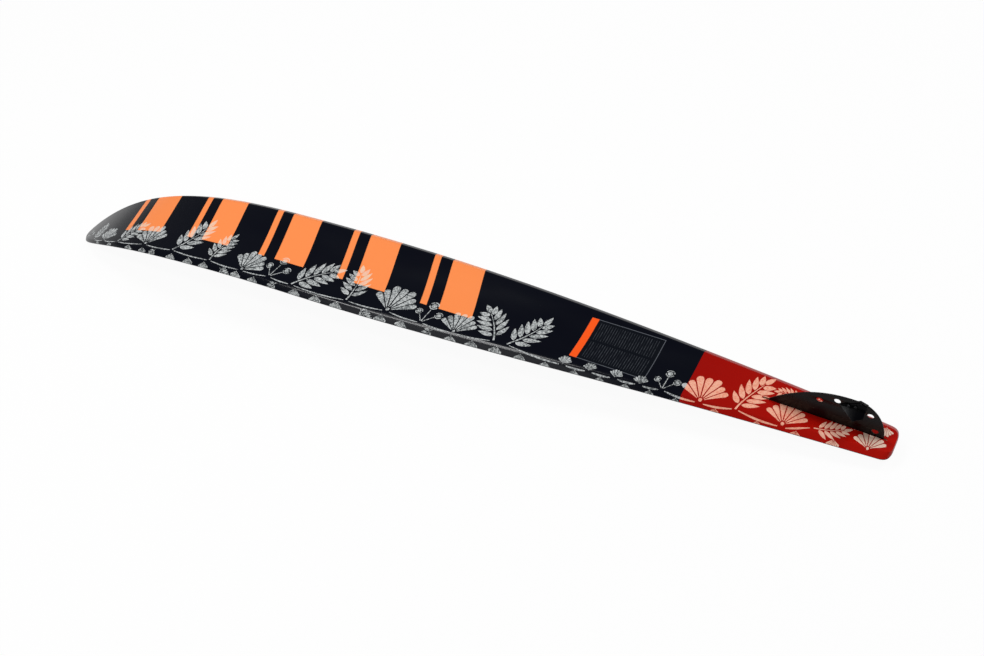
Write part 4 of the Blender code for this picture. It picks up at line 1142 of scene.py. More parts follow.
@dataclass(frozen=True)
class MotifPlace:
    """Where one motif lies: its foot, the way it points and its size.

    The way is 0 towards the ski's middle and grows towards the tip.
    """

    kind: MotifKind
    x: float
    inward: float
    way_deg: float
    size: float
    flip: bool = False


class MotifShapes:
    """Draws the flat outlines of the motifs at size 1, with the foot at the origin and +Y ahead."""

    @staticmethod
    def fan(ribs: int = 7, half_angle: float = 62.0) -> list[list[Point]]:
        """Return a scalloped fan: ribs that spread from a small foot."""
        outlines = []
        flanks = ((0.30, 0.16), (0.62, 0.34), (0.80, 0.60))
        step = 2.0 * math.radians(half_angle) / ribs
        for i in range(ribs):
            middle = (i - 0.5 * (ribs - 1)) * step
            reach = 1.0 - 0.20 * abs(middle) ** 1.6
            if i % 2:
                reach *= 0.93
            rib = [(middle - 0.5 * share * step, radius * reach) for share, radius in flanks]
            for k in range(9):
                t = -1.0 + k / 4.0
                rib.append((middle + 0.42 * step * t, reach * (0.88 + 0.12 * math.sqrt(1.0 - t * t))))
            rib += [(middle + 0.5 * share * step, radius * reach) for share, radius in flanks[::-1]]
            outlines.append([(radius * math.sin(turn), radius * math.cos(turn)) for turn, radius in rib])
        outlines.append(circle((0.0, 0.055), 0.055, 14))
        return outlines

    @staticmethod
    def blade(foot: Vector, way: float, length: float, width: float, curl: float) -> list[Point]:
        """Return one slim pointed leaflet.

        Args:
            foot: Where it starts.
            way: The angle it points in.
            length: Its length.
            width: Its width.
            curl: How far its tip bends sideways.

        Returns:
            Its outline.
        """
        along = Vector((math.cos(way), math.sin(way)))
        across = Vector((-along.y, along.x))
        points = []
        for side in (1.0, -1.0):
            for k in range(9):
                t = k / 8.0 if side > 0.0 else 1.0 - k / 8.0
                swell = math.sin(math.pi * t**0.72) ** 0.85
                bend = curl * length * t * t
                point = foot + along * (length * t) + across * (0.5 * side * width * swell + bend)
                points.append((point.x, point.y))
        return points[:9] + points[10:-1]

    @staticmethod
    def frond(pairs: int = 5, bend: float = 0.17) -> list[list[Point]]:
        """Return a frond: a bent rib with slim leaflets on both sides and one at its end."""

        def rib(t: float) -> Vector:
            """Return the rib's middle at t."""
            return Vector((bend * t * t, 0.84 * t))

        outlines = []
        left, right = [], []
        for k in range(13):
            t = k / 12.0
            slope = Vector((2.0 * bend * t, 0.84)).normalized()
            across = Vector((-slope.y, slope.x))
            width = 0.020 * (1.0 - 0.65 * t)
            left.append(tuple(rib(t) + width * across))
            right.append(tuple(rib(t) - width * across))
        outlines.append(left + right[::-1])
        for k in range(pairs):
            t = 0.16 + 0.74 * k / (pairs - 1)
            slope = math.atan2(0.84, 2.0 * bend * t)
            length = 0.40 * math.sin(math.pi * (0.24 + 0.62 * t)) ** 0.8
            for side, spread, curl in ((1.0, 56.0, -0.10), (-1.0, 66.0, 0.02)):
                way = slope + side * math.radians(spread - 20.0 * t)
                foot = rib(t) + 0.048 * Vector((math.cos(way), math.sin(way)))
                outlines.append(MotifShapes.blade(foot, way, length, 0.122, curl))
        end = rib(1.0)
        slope = math.atan2(0.84, 2.0 * bend)
        foot = end + 0.03 * Vector((math.cos(slope), math.sin(slope)))
        outlines.append(MotifShapes.blade(foot, slope, 0.27, 0.12, -0.05))
        return outlines

    @staticmethod
    def seeds() -> list[list[Point]]:
        """Return a sprig of round seeds on short stalks, each seed with a thin ring round it."""
        outlines = []
        for way, reach, radius in ((-34.0, 0.72, 0.17), (6.0, 0.95, 0.20), (44.0, 0.62, 0.15)):
            turn = math.radians(way)
            ahead = Vector((math.sin(turn), math.cos(turn)))
            across = Vector((ahead.y, -ahead.x))
            centre = ahead * reach
            stalk = [0.06 * ahead + 0.018 * across, (reach - 1.12 * radius) * ahead + 0.014 * across]
            stalk += [(reach - 1.12 * radius) * ahead - 0.014 * across, 0.06 * ahead - 0.018 * across]
            outlines.append([tuple(point) for point in stalk])
            outlines.append(circle(tuple(centre), 0.56 * radius, 18))
            for half in (0.0, math.pi):
                arc = [half + math.radians(14.0 + 19.0 * k) for k in range(9)]
                outer = [centre + radius * Vector((math.cos(a), math.sin(a))) for a in arc]
                inner = [centre + 0.76 * radius * Vector((math.cos(a), math.sin(a))) for a in arc]
                outlines.append([tuple(point) for point in outer + inner[::-1]])
        return outlines


class PrintedGarland:
    """The band of printed motifs along the ski's near side, laid on the base as a thin film."""

    name = "printed_garland"
    proud = 0.00010
    film = 0.00020
    step = 0.011
    near_end = -0.0099
    full_bevel = 0.0100
    first_cut = 0.002
    cell = 0.0045
    cells = 22
    end_room = (0.0008, 0.002)
    stem_width = 0.0026
    stem_bend = 0.03
    fan, frond, seeds = MotifKind.FAN, MotifKind.FROND, MotifKind.SEEDS
    places = (
        (seeds, 1.609, 0.0, 20.0, 0.024), (frond, 1.574, 0.001, -8.0, 0.046),
        (fan, 1.528, 0.003, 6.0, 0.038), (frond, 1.478, 0.004, -24.0, 0.066, True),
        (fan, 1.394, 0.008, 10.0, 0.056), (frond, 1.318, 0.008, -36.0, 0.09),
        (frond, 1.222, 0.006, 6.0, 0.068, True), (fan, 1.146, 0.004, -14.0, 0.052),
        (seeds, 1.085, 0.008, -12.0, 0.046), (frond, 1.034, 0.006, -34.0, 0.088, True),
        (frond, 0.918, 0.008, -2.0, 0.076), (fan, 0.838, 0.01, -6.0, 0.062),
        (seeds, 0.769, 0.006, -10.0, 0.044), (fan, 0.706, 0.003, 0.0, 0.048),
        (frond, 0.634, 0.008, 20.0, 0.076), (frond, 0.61, 0.008, -44.0, 0.078),
        (fan, 0.508, -0.001, -4.0, 0.017), (fan, 0.464, -0.001, 6.0, 0.016),
        (fan, 0.422, -0.001, -8.0, 0.016), (fan, 0.381, -0.001, 4.0, 0.017),
        (seeds, 0.345, 0.0, -6.0, 0.036), (fan, 0.284, -0.003, 2.0, 0.053),
        (frond, 0.23, 0.0, -10.0, 0.074, True), (fan, 0.158, -0.004, -2.0, 0.046),
        (frond, 0.114, 0.006, -86.0, 0.048), (fan, 0.0335, -0.004, 2.0, 0.0345),
        (fan, 0.019, 0.0445, 180.0, 0.0165), (frond, 0.085, 0.0435, -97.0, 0.036, True),
        (fan, 0.1242, 0.0618, 180.0, 0.024), (frond, 0.15, 0.0515, 72.0, 0.035),
        (fan, 1.55, -0.002, 170.0, 0.01), (fan, 1.502, -0.002, 190.0, 0.012),
        (fan, 1.434, -0.001, 176.0, 0.016), (frond, 1.356, -0.001, 128.0, 0.026),
        (fan, 1.268, -0.001, 184.0, 0.017), (frond, 1.19, -0.003, 226.0, 0.028),
        (fan, 1.112, -0.002, 176.0, 0.017), (frond, 1.062, -0.001, 128.0, 0.028),
        (fan, 0.976, -0.001, 184.0, 0.018), (frond, 0.884, -0.001, 228.0, 0.029),
        (fan, 0.8, -0.001, 176.0, 0.017), (frond, 0.742, -0.002, 130.0, 0.028),
        (fan, 0.668, -0.002, 184.0, 0.017), (fan, 0.58, -0.003, 180.0, 0.015),
        (fan, 0.258, -0.006, 178.0, 0.013), (fan, 0.194, -0.007, 182.0, 0.012),
        (fan, 0.136, -0.0055, 178.0, 0.013), (fan, 0.082, -0.003, 182.0, 0.014),
        (fan, 1.392, -0.001, 182.0, 0.015), (fan, 1.312, -0.001, 178.0, 0.017),
        (fan, 1.229, -0.001, 182.0, 0.017), (fan, 1.152, -0.001, 178.0, 0.017),
        (fan, 1.02, -0.001, 180.0, 0.018), (fan, 0.931, -0.001, 178.0, 0.018),
        (fan, 0.842, -0.001, 182.0, 0.018), (fan, 0.706, -0.003, 180.0, 0.016),
        (fan, 0.624, -0.001, 180.0, 0.017), (fan, 0.536, -0.0045, 180.0, 0.013),
        (fan, 0.486, -0.0055, 180.0, 0.012), (fan, 0.443, -0.0055, 180.0, 0.012),
        (fan, 0.401, -0.0055, 180.0, 0.012), (fan, 0.362, -0.0055, 180.0, 0.012),
        (fan, 0.32, -0.0065, 180.0, 0.012),
    )
    stems = (
        ((1.568, 0.0), (1.533, 0.001)), ((1.523, 0.001), (1.483, 0.002)), ((1.473, 0.002), (1.402, 0.006)),
        ((1.388, 0.006), (1.323, 0.006)), ((1.312, 0.006), (1.227, 0.004)),
        ((1.217, 0.004), (1.152, 0.002)), ((1.14, 0.002), (1.09, 0.006)), ((1.08, 0.006), (1.039, 0.004)),
        ((1.028, 0.004), (0.923, 0.006)), ((0.913, 0.006), (0.845, 0.008)),
        ((0.831, 0.008), (0.774, 0.004)), ((0.764, 0.004), (0.712, 0.001)), ((0.7, 0.001), (0.64, 0.006)),
        ((0.605, 0.006), (0.514, -0.003)), ((0.502, -0.003), (0.47, -0.003)),
        ((0.458, -0.003), (0.428, -0.003)), ((0.416, -0.003), (0.387, -0.003)),
        ((0.375, -0.003), (0.35, -0.002)), ((0.34, -0.002), (0.291, -0.005)),
        ((0.278, -0.005), (0.235, -0.001)), ((0.225, -0.001), (0.164, -0.006)),
        ((0.152, -0.006), (0.119, 0.004)),
    )

    def __init__(self, form: SkiForm, place: SkiPlace) -> None:
        """Keep the ski's form and place."""
        self.form = form
        self.place = place

    @staticmethod
    def flat(name: str, outlines: Sequence[Sequence[Point]]) -> Piece:
        """Return flat filled outlines as a mesh in the XY plane."""
        return Bench.meshed(Bench.drawn(name, outlines), FINE_MERGE)

    def stem(self, start: Point, end: Point) -> list[Point]:
        """Return the outline of one stem, slim at its ends and bent outwards between them."""
        start, end = Vector(start), Vector(end)
        along = end - start
        across = Vector((-along.y, along.x)).normalized()
        upper, lower = [], []
        for k in range(9):
            t = k / 8.0
            middle = start + along * t + across * (self.stem_bend * along.length * math.sin(math.pi * t))
            half = 0.5 * self.stem_width * (0.45 + 0.55 * math.sin(math.pi * t))
            upper.append(tuple(middle + half * across))
            lower.append(tuple(middle - half * across))
        return upper + lower[::-1]

    def lay_out(self) -> Piece:
        """Return all motifs and stems, flat, with X along the ski and Y inward from the bevel."""
        patterns = {
            MotifKind.FAN: self.flat("fan_pattern", MotifShapes.fan()),
            MotifKind.FROND: self.flat("frond_pattern", MotifShapes.frond()),
            MotifKind.SEEDS: self.flat("seeds_pattern", MotifShapes.seeds()),
        }
        laid = [self.flat("stem_pattern", [self.stem(*stem) for stem in self.stems])]
        for motif in (MotifPlace(*row) for row in self.places):
            pattern = patterns[motif.kind]
            piece = Bench.hang(pattern.name, pattern.data.copy())
            size = Matrix.Diagonal((-motif.size if motif.flip else motif.size, motif.size, 1.0, 1.0))
            turn = Matrix.Rotation(-math.radians(motif.way_deg), 4, "Z")
            piece.data.transform(Matrix.Translation((motif.x, motif.inward, 0.0)) @ turn @ size)
            laid.append(piece)
        Bench.remove(*patterns.values())
        Bench.pick(*laid)
        bpy.ops.object.join()
        return Bench.named(self.name)

    def slice(self, piece: Piece) -> None:
        """Trim the film at the ski's edge and cut it into cells that can follow the base."""
        count = int(self.form.length / self.step)
        cuts = [(0, self.first_cut + i * self.step) for i in range(count)]
        cuts += [(1, -share * self.full_bevel) for share in BaseShell.bevel_shares[:-1]]
        cuts += [(1, self.form.rim + i * self.cell) for i in range(self.cells)]
        with Bench.editing(piece):
            Bench.bisect(1, self.near_end, clear_inner=True)
            for axis, value in cuts:
                Bench.bisect(axis, value)

    def drape(self, piece: Piece) -> None:
        """Lay the film on the base."""
        form = self.form
        for vertex in piece.data.vertices:
            x = min(max(vertex.co.x, self.end_room[0]), form.length - self.end_room[1])
            inward, bevel, rim = vertex.co.y, form.bevel_at(x), form.rim_at(x)
            flat = form.half_width(x) - bevel
            if inward < 0.0:
                y = flat - inward / self.full_bevel * bevel
            elif inward < form.rim:
                y = flat - inward / form.rim * rim
            else:
                y = flat - rim - (inward - form.rim)
            vertex.co = form.on_base(x, y, self.proud)

    @staticmethod
    def over_slot(face: bmesh.types.BMFace, half: float, rear: float, front: float) -> bool:
        """Return whether a face lies over the fin's slot."""
        middle = face.calc_center_median()
        return abs(middle.y) < half and rear < middle.x < front

    def open_slot(self, piece: Piece) -> None:
        """Cut the film away over the fin's slot."""
        half = BaseShell.slot_radius + self.film
        rear, front = (end + step for end, step in zip(self.form.slot, (-self.film, self.film)))
        with Bench.editing(piece):
            for axis, value in ((1, half), (1, -half), (0, rear), (0, front)):
                Bench.bisect(axis, value)
            Bench.select_faces(piece, lambda face: self.over_slot(face, half, rear, front))
            bpy.ops.mesh.delete(type="FACE")

    def build(self) -> Piece:
        """Model the printed garland."""
        piece = self.lay_out()
        self.slice(piece)
        self.drape(piece)
        self.open_slot(piece)
        with Bench.editing(piece):
            mesh = bmesh.from_edit_mesh(piece.data)
            for face in mesh.faces:
                face.normal_update()
                if face.normal.z < 0.0:
                    face.normal_flip()
            bmesh.update_edit_mesh(piece.data)
        Bench.finish(piece, "SOLIDIFY", thickness=self.film, offset=-1.0)
        Bench.settle(piece, self.place.ski())
        Bench.smooth(piece, 30.0)
        return piece


@dataclass(frozen=True)
class ScrewSizes:
    """Sizes of a socket screw; the head stands on the seat and the shank goes down from it."""

    radius: float
    shank: float
    head_radius: float
    head_height: float
    pitch: float
    plain: float = 0.0
    socket_radius: float = 0.0017
    socket_depth: float = 0.0018


class Threads:
    """Round pieces with real threads, wrapped ring by ring along +Z."""

    columns = 24
    rings_per_turn = 6
    depth_share = 0.45

    @classmethod
    def ring(cls, height: float, radius: Callable[[float], float]) -> list[Vector]:
        """Return one ring of points whose radius depends on the angle."""
        round_turns = turns(cls.columns)
        return [Vector((radius(t) * math.cos(t), radius(t) * math.sin(t), height)) for t in round_turns]

    @classmethod
    def plain_ring(cls, height: float, radius: float) -> list[Vector]:
        """Return one round ring of points."""
        return cls.ring(height, lambda _: radius)

    @classmethod
    def thread(cls, low: float, high: float, radius: float, pitch: float) -> list[list[Vector]]:
        """Return the rings of a threaded length.

        Args:
            low: Where the thread starts.
            high: Where it ends.
            radius: Its outer radius.
            pitch: Its rise in one turn.

        Returns:
            The rings, from low to high.
        """
        depth = cls.depth_share * pitch
        count = max(round((high - low) / pitch * cls.rings_per_turn), 2)
        rings = []
        for i in range(count + 1):
            height = low + (high - low) * i / count
            room = min(height - low, high - height) / pitch
            fade = ease(room)

            def groove(turn: float, at: float = height, share: float = fade) -> float:
                """Return the radius at an angle, cut by the groove."""
                phase = (at / pitch - turn / (2.0 * math.pi)) % 1.0
                return radius - depth * share * (1.0 - abs(2.0 * phase - 1.0))

            rings.append(cls.ring(height, groove))
        return rings


class SocketScrew:
    """A socket screw with a rounded head, a six-sided socket and a threaded shank."""

    fine = 0.0001
    lead_share = 0.25
    edge_share = 0.28
    edge_steps = 4
    smooth_deg = 28.0

    def __init__(self, name: str, sizes: ScrewSizes) -> None:
        """Keep the screw's name and sizes."""
        self.name = name
        self.sizes = sizes

    def build(self) -> Piece:
        """Model the screw with its head's seat at the origin and its head along +Z."""
        s, fine = self.sizes, self.fine
        lead, edge = self.lead_share * s.radius, self.edge_share * s.head_height
        rings = [Threads.plain_ring(-s.shank, s.radius - lead)]
        rings += Threads.thread(-s.shank + lead, -s.plain - 2.0 * fine, s.radius, s.pitch)
        profile = [(-fine, s.radius), (0.0, s.radius), (0.0, s.head_radius - fine), (fine, s.head_radius)]
        for i in range(self.edge_steps + 1):
            t = 0.5 * math.pi * i / self.edge_steps
            height = s.head_height - edge + edge * math.sin(t)
            profile.append((height, s.head_radius - edge * (1.0 - math.cos(t))))
        rings += [Threads.plain_ring(height, radius) for height, radius in profile]
        screw = Bench.wrap(self.name, rings)
        depth = min(s.socket_depth, 0.65 * s.head_height)
        radius = min(s.socket_radius, 0.5 * s.head_radius)
        start = Vector((0.0, 0.0, s.head_height - depth))
        end = start + Vector((0.0, 0.0, 2.0 * depth))
        Bench.carve(screw, Bench.rod("socket_tool", start, end, radius, 6))
        Bench.smooth(screw, self.smooth_deg)
        return screw


class SetScrew:
    """A headless screw with a six-sided socket in its lower end."""

    radius = 0.0015
    length = 0.0046
    lead = 0.0003
    pitch = 0.0005
    socket_radius = 0.0008
    socket_depth = 0.0015

    @classmethod
    def build(cls, name: str) -> Piece:
        """Model the screw from the origin down."""
        rings = [Threads.plain_ring(-cls.length, cls.radius - cls.lead)]
        rings += Threads.thread(-cls.length + cls.lead, -cls.lead, cls.radius, cls.pitch)
        rings.append(Threads.plain_ring(0.0, cls.radius - cls.lead))
        screw = Bench.wrap(name, rings)
        end = Vector((0.0, 0.0, -cls.length + cls.socket_depth))
        start = end - Vector((0.0, 0.0, 2.0 * cls.socket_depth))
        Bench.carve(screw, Bench.rod("socket_tool", start, end, cls.socket_radius, 6))
        Bench.smooth(screw, SocketScrew.smooth_deg)
        return screw


@dataclass(frozen=True)
class InsertSizes:
    """Sizes of a threaded brass insert, with its mouth at the origin and its body up along +Z."""

    length: float
    bore: float
    pitch: float
    radius: float = 0.00475
    groove_radius: float = 0.0040
    grooves: tuple[Point, ...] = ()


class BrassInsert:
    """A turned insert with knurled bands, grooves that hold it in the laminate, and a thread."""

    knurls = 28
    columns = 112
    knurl_depth = 0.00016
    flange = 0.0011
    round_edge = 0.0002
    chamfer = 0.0003
    neck = 0.0004
    mouth = 0.0006
    thread_depth = 0.00018
    overrun = 0.001

    def __init__(self, name: str, sizes: InsertSizes) -> None:
        """Keep the insert's name and sizes."""
        self.name = name
        self.sizes = sizes

    def band(self, height: float, radius: float, knurled: bool) -> list[Vector]:
        """Return one ring of the body, knurled or smooth."""
        points = []
        for turn in turns(self.columns):
            cut = self.knurl_depth * (0.5 - 0.5 * math.cos(self.knurls * turn)) if knurled else 0.0
            points.append(Vector(((radius - cut) * math.cos(turn), (radius - cut) * math.sin(turn), height)))
        return points

    def build(self) -> Piece:
        """Model the insert."""
        s, top, neck = self.sizes, self.flange, self.sizes.radius - self.neck
        over = top + self.chamfer
        profile = [(0.0, s.radius - self.round_edge, False), (self.round_edge, s.radius, False)]
        profile += [(top, s.radius, False), (top, neck, False), (over, neck, False), (over, s.radius, True)]
        for low, high in s.grooves:
            profile += [(low, s.radius, True), (low, s.groove_radius, False)]
            profile += [(high, s.groove_radius, False), (high, s.radius, True)]
        profile += [(s.length - self.chamfer, s.radius, True), (s.length, s.radius - self.chamfer, False)]
        body = Bench.wrap(self.name, [self.band(*row) for row in profile])
        tool = [Threads.plain_ring(height, s.bore + self.mouth) for height in (-self.overrun, 0.0)]
        tool += Threads.thread(self.mouth, s.length + self.overrun, s.bore + self.thread_depth, s.pitch)
        Bench.carve(body, Bench.wrap("bore_tool", tool))
        Bench.smooth(body, SocketScrew.smooth_deg)
        return body


class HexNut:
    """A six-sided nut with chamfered corners and a thread."""

    corner_radius = 0.0025
    height = 0.0024
    bore = 0.0018
    columns = 48
    chamfer = 0.0003
    pitch = 0.0005
    thread_depth = 0.0001
    overrun = 0.001

    @classmethod
    def build(cls, name: str) -> Piece:
        """Model the nut from the origin up along +Z."""
        corner, flat = cls.corner_radius, cls.corner_radius * math.cos(math.pi / 6.0)
        profile = [(0.0, flat), (cls.chamfer, corner), (cls.height - cls.chamfer, corner), (cls.height, flat)]
        rings = []
        for height, limit in profile:
            ring = []
            for turn in turns(cls.columns):
                side = (turn % (math.pi / 3.0)) - math.pi / 6.0
                radius = min(flat / math.cos(side), limit)
                ring.append(Vector((radius * math.cos(turn), radius * math.sin(turn), height)))
            rings.append(ring)
        nut = Bench.wrap(name, rings)
        bore = cls.bore + cls.thread_depth
        tool = Threads.thread(-cls.overrun, cls.height + cls.overrun, bore, cls.pitch)
        Bench.carve(nut, Bench.wrap("bore_tool", tool))
        Bench.smooth(nut, 25.0)
        return nut


@dataclass(frozen=True)
class ClampSizes:
    """Sizes of the fin clamp in the seat's frame, with the deck at z 0 and the clamp below it."""

    middle_at: float = 0.1000
    length: float = 0.1640
    height: float = 0.0200
    wall: float = 0.0060
    flange: tuple[float, float] = (0.0150, 0.0030)
    room: float = 0.0012
    bolt_x: tuple[tuple[str, float], ...] = (("rear", 0.0245), ("middle", 0.0965), ("front", 0.1685))
    bolt_z: float = -0.0076
    bolt_hole: float = 0.0023
    mount_x: tuple[float, float] = (0.150, 0.050)
    mount_y: float = 0.0147
    mount_hole: float = 0.0024
    travel: float = 0.0030
    depth_travel: float = 0.0015
    tab_drop: float = 0.0132
    rear_block: tuple[float, float] = (0.0180, 0.0310)
    front_block: tuple[float, float] = (0.1620, 0.1820)
    block_width: float = 0.0080
    well: float = 0.0018
    length_z: float = -0.0173
    length_bore: float = 0.0018
    length_depth: float = 0.0113
    post_x: tuple[float, float] = (0.1887, 0.1927)
    post_width: float = 0.0100
    post_top: float = -0.0203
    foot: tuple[float, float] = (0.0120, 0.0360)
    post_screw_x: float = 0.1987
    post_screw_y: float = 0.0130
    clip_x: float = 0.1872
    clip_thickness: float = 0.0012
    overrun: float = 0.010

    @property
    def flange_face(self) -> float:
        """Return the height of the flange's lower face."""
        return -GAP - self.flange[1]


class FinClamp:
    """The clamp halves, the end blocks and the adjuster post under the tail."""

    fillet = 0.0009
    inner_fillet = 0.0011
    edge_break = 0.0006
    round_edge = 0.00035
    corner_steps = 4
    clip_radii = (0.00168, 0.0030)
    clip_lobe = 0.00028
    clip_opening_deg = 34.0
    clip_steps = 40
    lengthwise = Matrix(((0, 0, 1, 0), (1, 0, 0, 0), (0, 1, 0, 0), (0, 0, 0, 1)))

    def __init__(self, sizes: ClampSizes, place: SkiPlace) -> None:
        """Keep the clamp's sizes and the ski's place."""
        self.sizes = sizes
        self.place = place

    @classmethod
    def rounded(cls, corners: Sequence[Point], radii: Sequence[float]) -> list[Point]:
        """Return an outline whose corners are rounded, each by its own radius."""
        points = []
        count = len(corners)
        for i, radius in enumerate(radii):
            corner = Vector(corners[i])
            before = (Vector(corners[i - 1]) - corner).normalized()
            after = (Vector(corners[(i + 1) % count]) - corner).normalized()
            if radius == 0.0:
                points.append(tuple(corner))
                continue
            for k in range(cls.corner_steps + 1):
                t = 0.5 * math.pi * k / cls.corner_steps
                point = corner + radius * (before * (1.0 - math.sin(t)) + after * (1.0 - math.cos(t)))
                points.append(tuple(point))
        return points

    def bolt_tool(self, x: float) -> Piece:
        """Return the tool that bores a cross bolt's hole."""
        s = self.sizes
        reach = 2.0 * s.overrun
        return Bench.rod("bolt_tool", (x, -reach, s.bolt_z), (x, reach, s.bolt_z), s.bolt_hole, 40)

    def half(self, side: Side) -> Piece:
        """Model one half of the clamp: an angle with pockets, bolt holes and two slots."""
        s = self.sizes
        inner, outer = s.room, s.room + s.wall
        edge = outer + s.flange[0]
        corners = [(inner, -GAP), (edge, -GAP), (edge, s.flange_face), (outer, s.flange_face)]
        corners += [(outer, -s.height), (inner, -s.height)]
        fillet, slight = self.fillet, self.edge_break
        outline = self.rounded(corners, (slight, fillet, fillet, self.inner_fillet, fillet, slight))
        outline = [(side.value * y, z) for y, z in outline]
        piece = Bench.plate(f"clamp_half_{side.name.lower()}", [outline], s.length, self.round_edge)
        Bench.settle(piece, Matrix.Translation((s.middle_at, 0.0, 0.0)) @ self.lengthwise)
        Bench.outward(piece)
        reach, bottom = 0.5 * s.block_width + GAP, -s.height - s.overrun
        tools = []
        for (low, high), open_low in ((s.rear_block, True), (s.front_block, False)):
            start = low - (s.overrun if open_low else GAP)
            end = high + (GAP if open_low else s.overrun)
            tools.append(Bench.block("pocket_tool", (start, -reach, bottom), (end, reach, s.overrun)))
        tools += [self.bolt_tool(x) for _, x in s.bolt_x]
        for x in s.mount_x:
            slot = long_hole((x, side.value * s.mount_y), s.mount_hole, s.travel)
            tools.append(Bench.plate("slot_tool", [slot], 2.0 * s.overrun, 0.0))
        Bench.carve(piece, *tools)
        return self.set_down(piece)

    def set_down(self, piece: Piece) -> Piece:
        """Place a piece of the seat's frame on the ski and shade it."""
        Bench.settle(piece, self.place.seat())
        Bench.smooth(piece, 26.0)
        return piece

    def end_block(self, front: bool) -> Piece:
        """Model one end block with its slit, its well and its holes."""
        s = self.sizes
        low, high = s.front_block if front else s.rear_block
        wide = 0.5 * s.block_width
        name = "front_block" if front else "rear_block"
        piece = Bench.block(name, (low, -wide, -s.height + GAP), (high, wide, -2.0 * GAP))
        Bench.soften(piece, self.edge_break, 3)
        x = s.bolt_x[2][1] if front else s.bolt_x[0][1]
        past, top = s.overrun, (x, 0.0, s.depth_travel - s.tab_drop)
        slit_start = (low - past, -s.room, -s.tab_drop - s.depth_travel - GAP)
        tools = [
            self.bolt_tool(x),
            Bench.block("slit_tool", slit_start, (high + past, s.room, past)),
            Bench.rod("well_tool", (x, 0.0, -s.height - past), top, s.well),
        ]
        if front:
            start, end = (high - s.length_depth, 0.0, s.length_z), (high + past, 0.0, s.length_z)
            tools.append(Bench.rod("bore_tool", start, end, s.length_bore))
        Bench.carve(piece, *tools)
        return self.set_down(piece)

    def post(self) -> Piece:
        """Model the angle that the length screw turns in."""
        s, past = self.sizes, self.sizes.overrun
        rear, front = s.post_x
        foot_end = front + s.foot[0]
        corners = [(rear, -GAP), (rear, s.post_top), (front, s.post_top)]
        corners += [(front, s.flange_face), (foot_end, s.flange_face), (foot_end, -GAP)]
        slight, fillet = self.edge_break, self.fillet
        outline = self.rounded(corners, (0.0, slight, slight, fillet, fillet, 0.0))
        piece = Bench.plate("length_post", [outline], s.foot[1], self.round_edge)
        Bench.settle(piece, Matrix.Rotation(math.radians(90.0), 4, "X"))
        tools = []
        for side in (1.0, -1.0):
            sides = sorted((0.5 * side * s.post_width, side * 3.0 * past))
            low = (rear - past, sides[0], s.post_top - past)
            tools.append(Bench.block("shoulder_tool", low, (front + GAP, sides[1], s.flange_face - GAP)))
            x, y = s.post_screw_x, side * s.post_screw_y
            tools.append(Bench.rod("hole_tool", (x, y, -past), (x, y, past), s.mount_hole))
        start, end = (rear - past, 0.0, s.length_z), (front + past, 0.0, s.length_z)
        tools.append(Bench.rod("bore_tool", start, end, s.length_bore))
        Bench.carve(piece, *tools)
        return self.set_down(piece)

    def clip(self) -> Piece:
        """Model the open spring clip on the length screw."""
        s, steps = self.sizes, self.clip_steps
        inner, outer = self.clip_radii
        opening = math.radians(self.clip_opening_deg)
        bends = [opening + (2.0 * math.pi - 2.0 * opening) * i / steps for i in range(steps + 1)]
        outline = [(outer * math.cos(t), outer * math.sin(t)) for t in bends]
        for t in reversed(bends):
            radius = inner + self.clip_lobe - self.clip_lobe * max(math.cos(3.0 * t), 0.0) ** 2
            outline.append((radius * math.cos(t), radius * math.sin(t)))
        piece = Bench.plate("screw_clip", [outline], s.clip_thickness, 0.0001)
        middle = (s.clip_x + 0.5 * s.clip_thickness, 0.0, s.length_z)
        Bench.settle(piece, facing(middle, (1.0, 0.0, 0.0)))
        return self.set_down(piece)


@dataclass(frozen=True)
class FinSizes:
    """Sizes of the fin and its wings: x forward from the tail, z up from the base."""

    thickness: float = 0.0018
    rear_at: float = 0.0188
    front_at: float = 0.1930
    deepest_at: float = 0.0660
    depth: float = 0.0620
    edge_power: float = 2.2
    rear_power: float = 1.85
    hole_radius: float = 0.0049
    holes: tuple[Point, ...] = ((0.1190, 0.0368), (0.0937, 0.0474), (0.0438, 0.0389), (0.0327, 0.0080))
    base_level: float = 0.0095
    tab_x: tuple[float, float] = (0.0183, 0.1817)
    tab_z: tuple[float, float] = (-0.0132, 0.0021)
    bolt_x: tuple[float, ...] = (0.0245, 0.0965, 0.1685)
    bolt_z: float = -0.0076
    bolt_slot: tuple[float, float] = (0.0023, 0.0015)
    pivot: Point = (0.0665, 0.0515)
    lock: Point = (0.0765, 0.0495)
    screw_radius: float = 0.0015
    travel_deg: float = 4.0
    wing_thickness: float = 0.0015
    root_front: Point = (0.0885, 0.0427)
    root_rear: Point = (0.0515, 0.0472)
    top_corner: Point = (0.0615, 0.0612)
    rear_corner: Point = (0.0515, 0.0570)
    front_height: float = 0.0021
    tip_at: float = 0.0645
    half_span: float = 0.0205
    half_span_rear: float = 0.0141
    droop_deg: float = 20.0

    def level(self, point: Point) -> Point:
        """Return a point on the fin in the seat's frame."""
        return point[0], self.base_level + point[1]


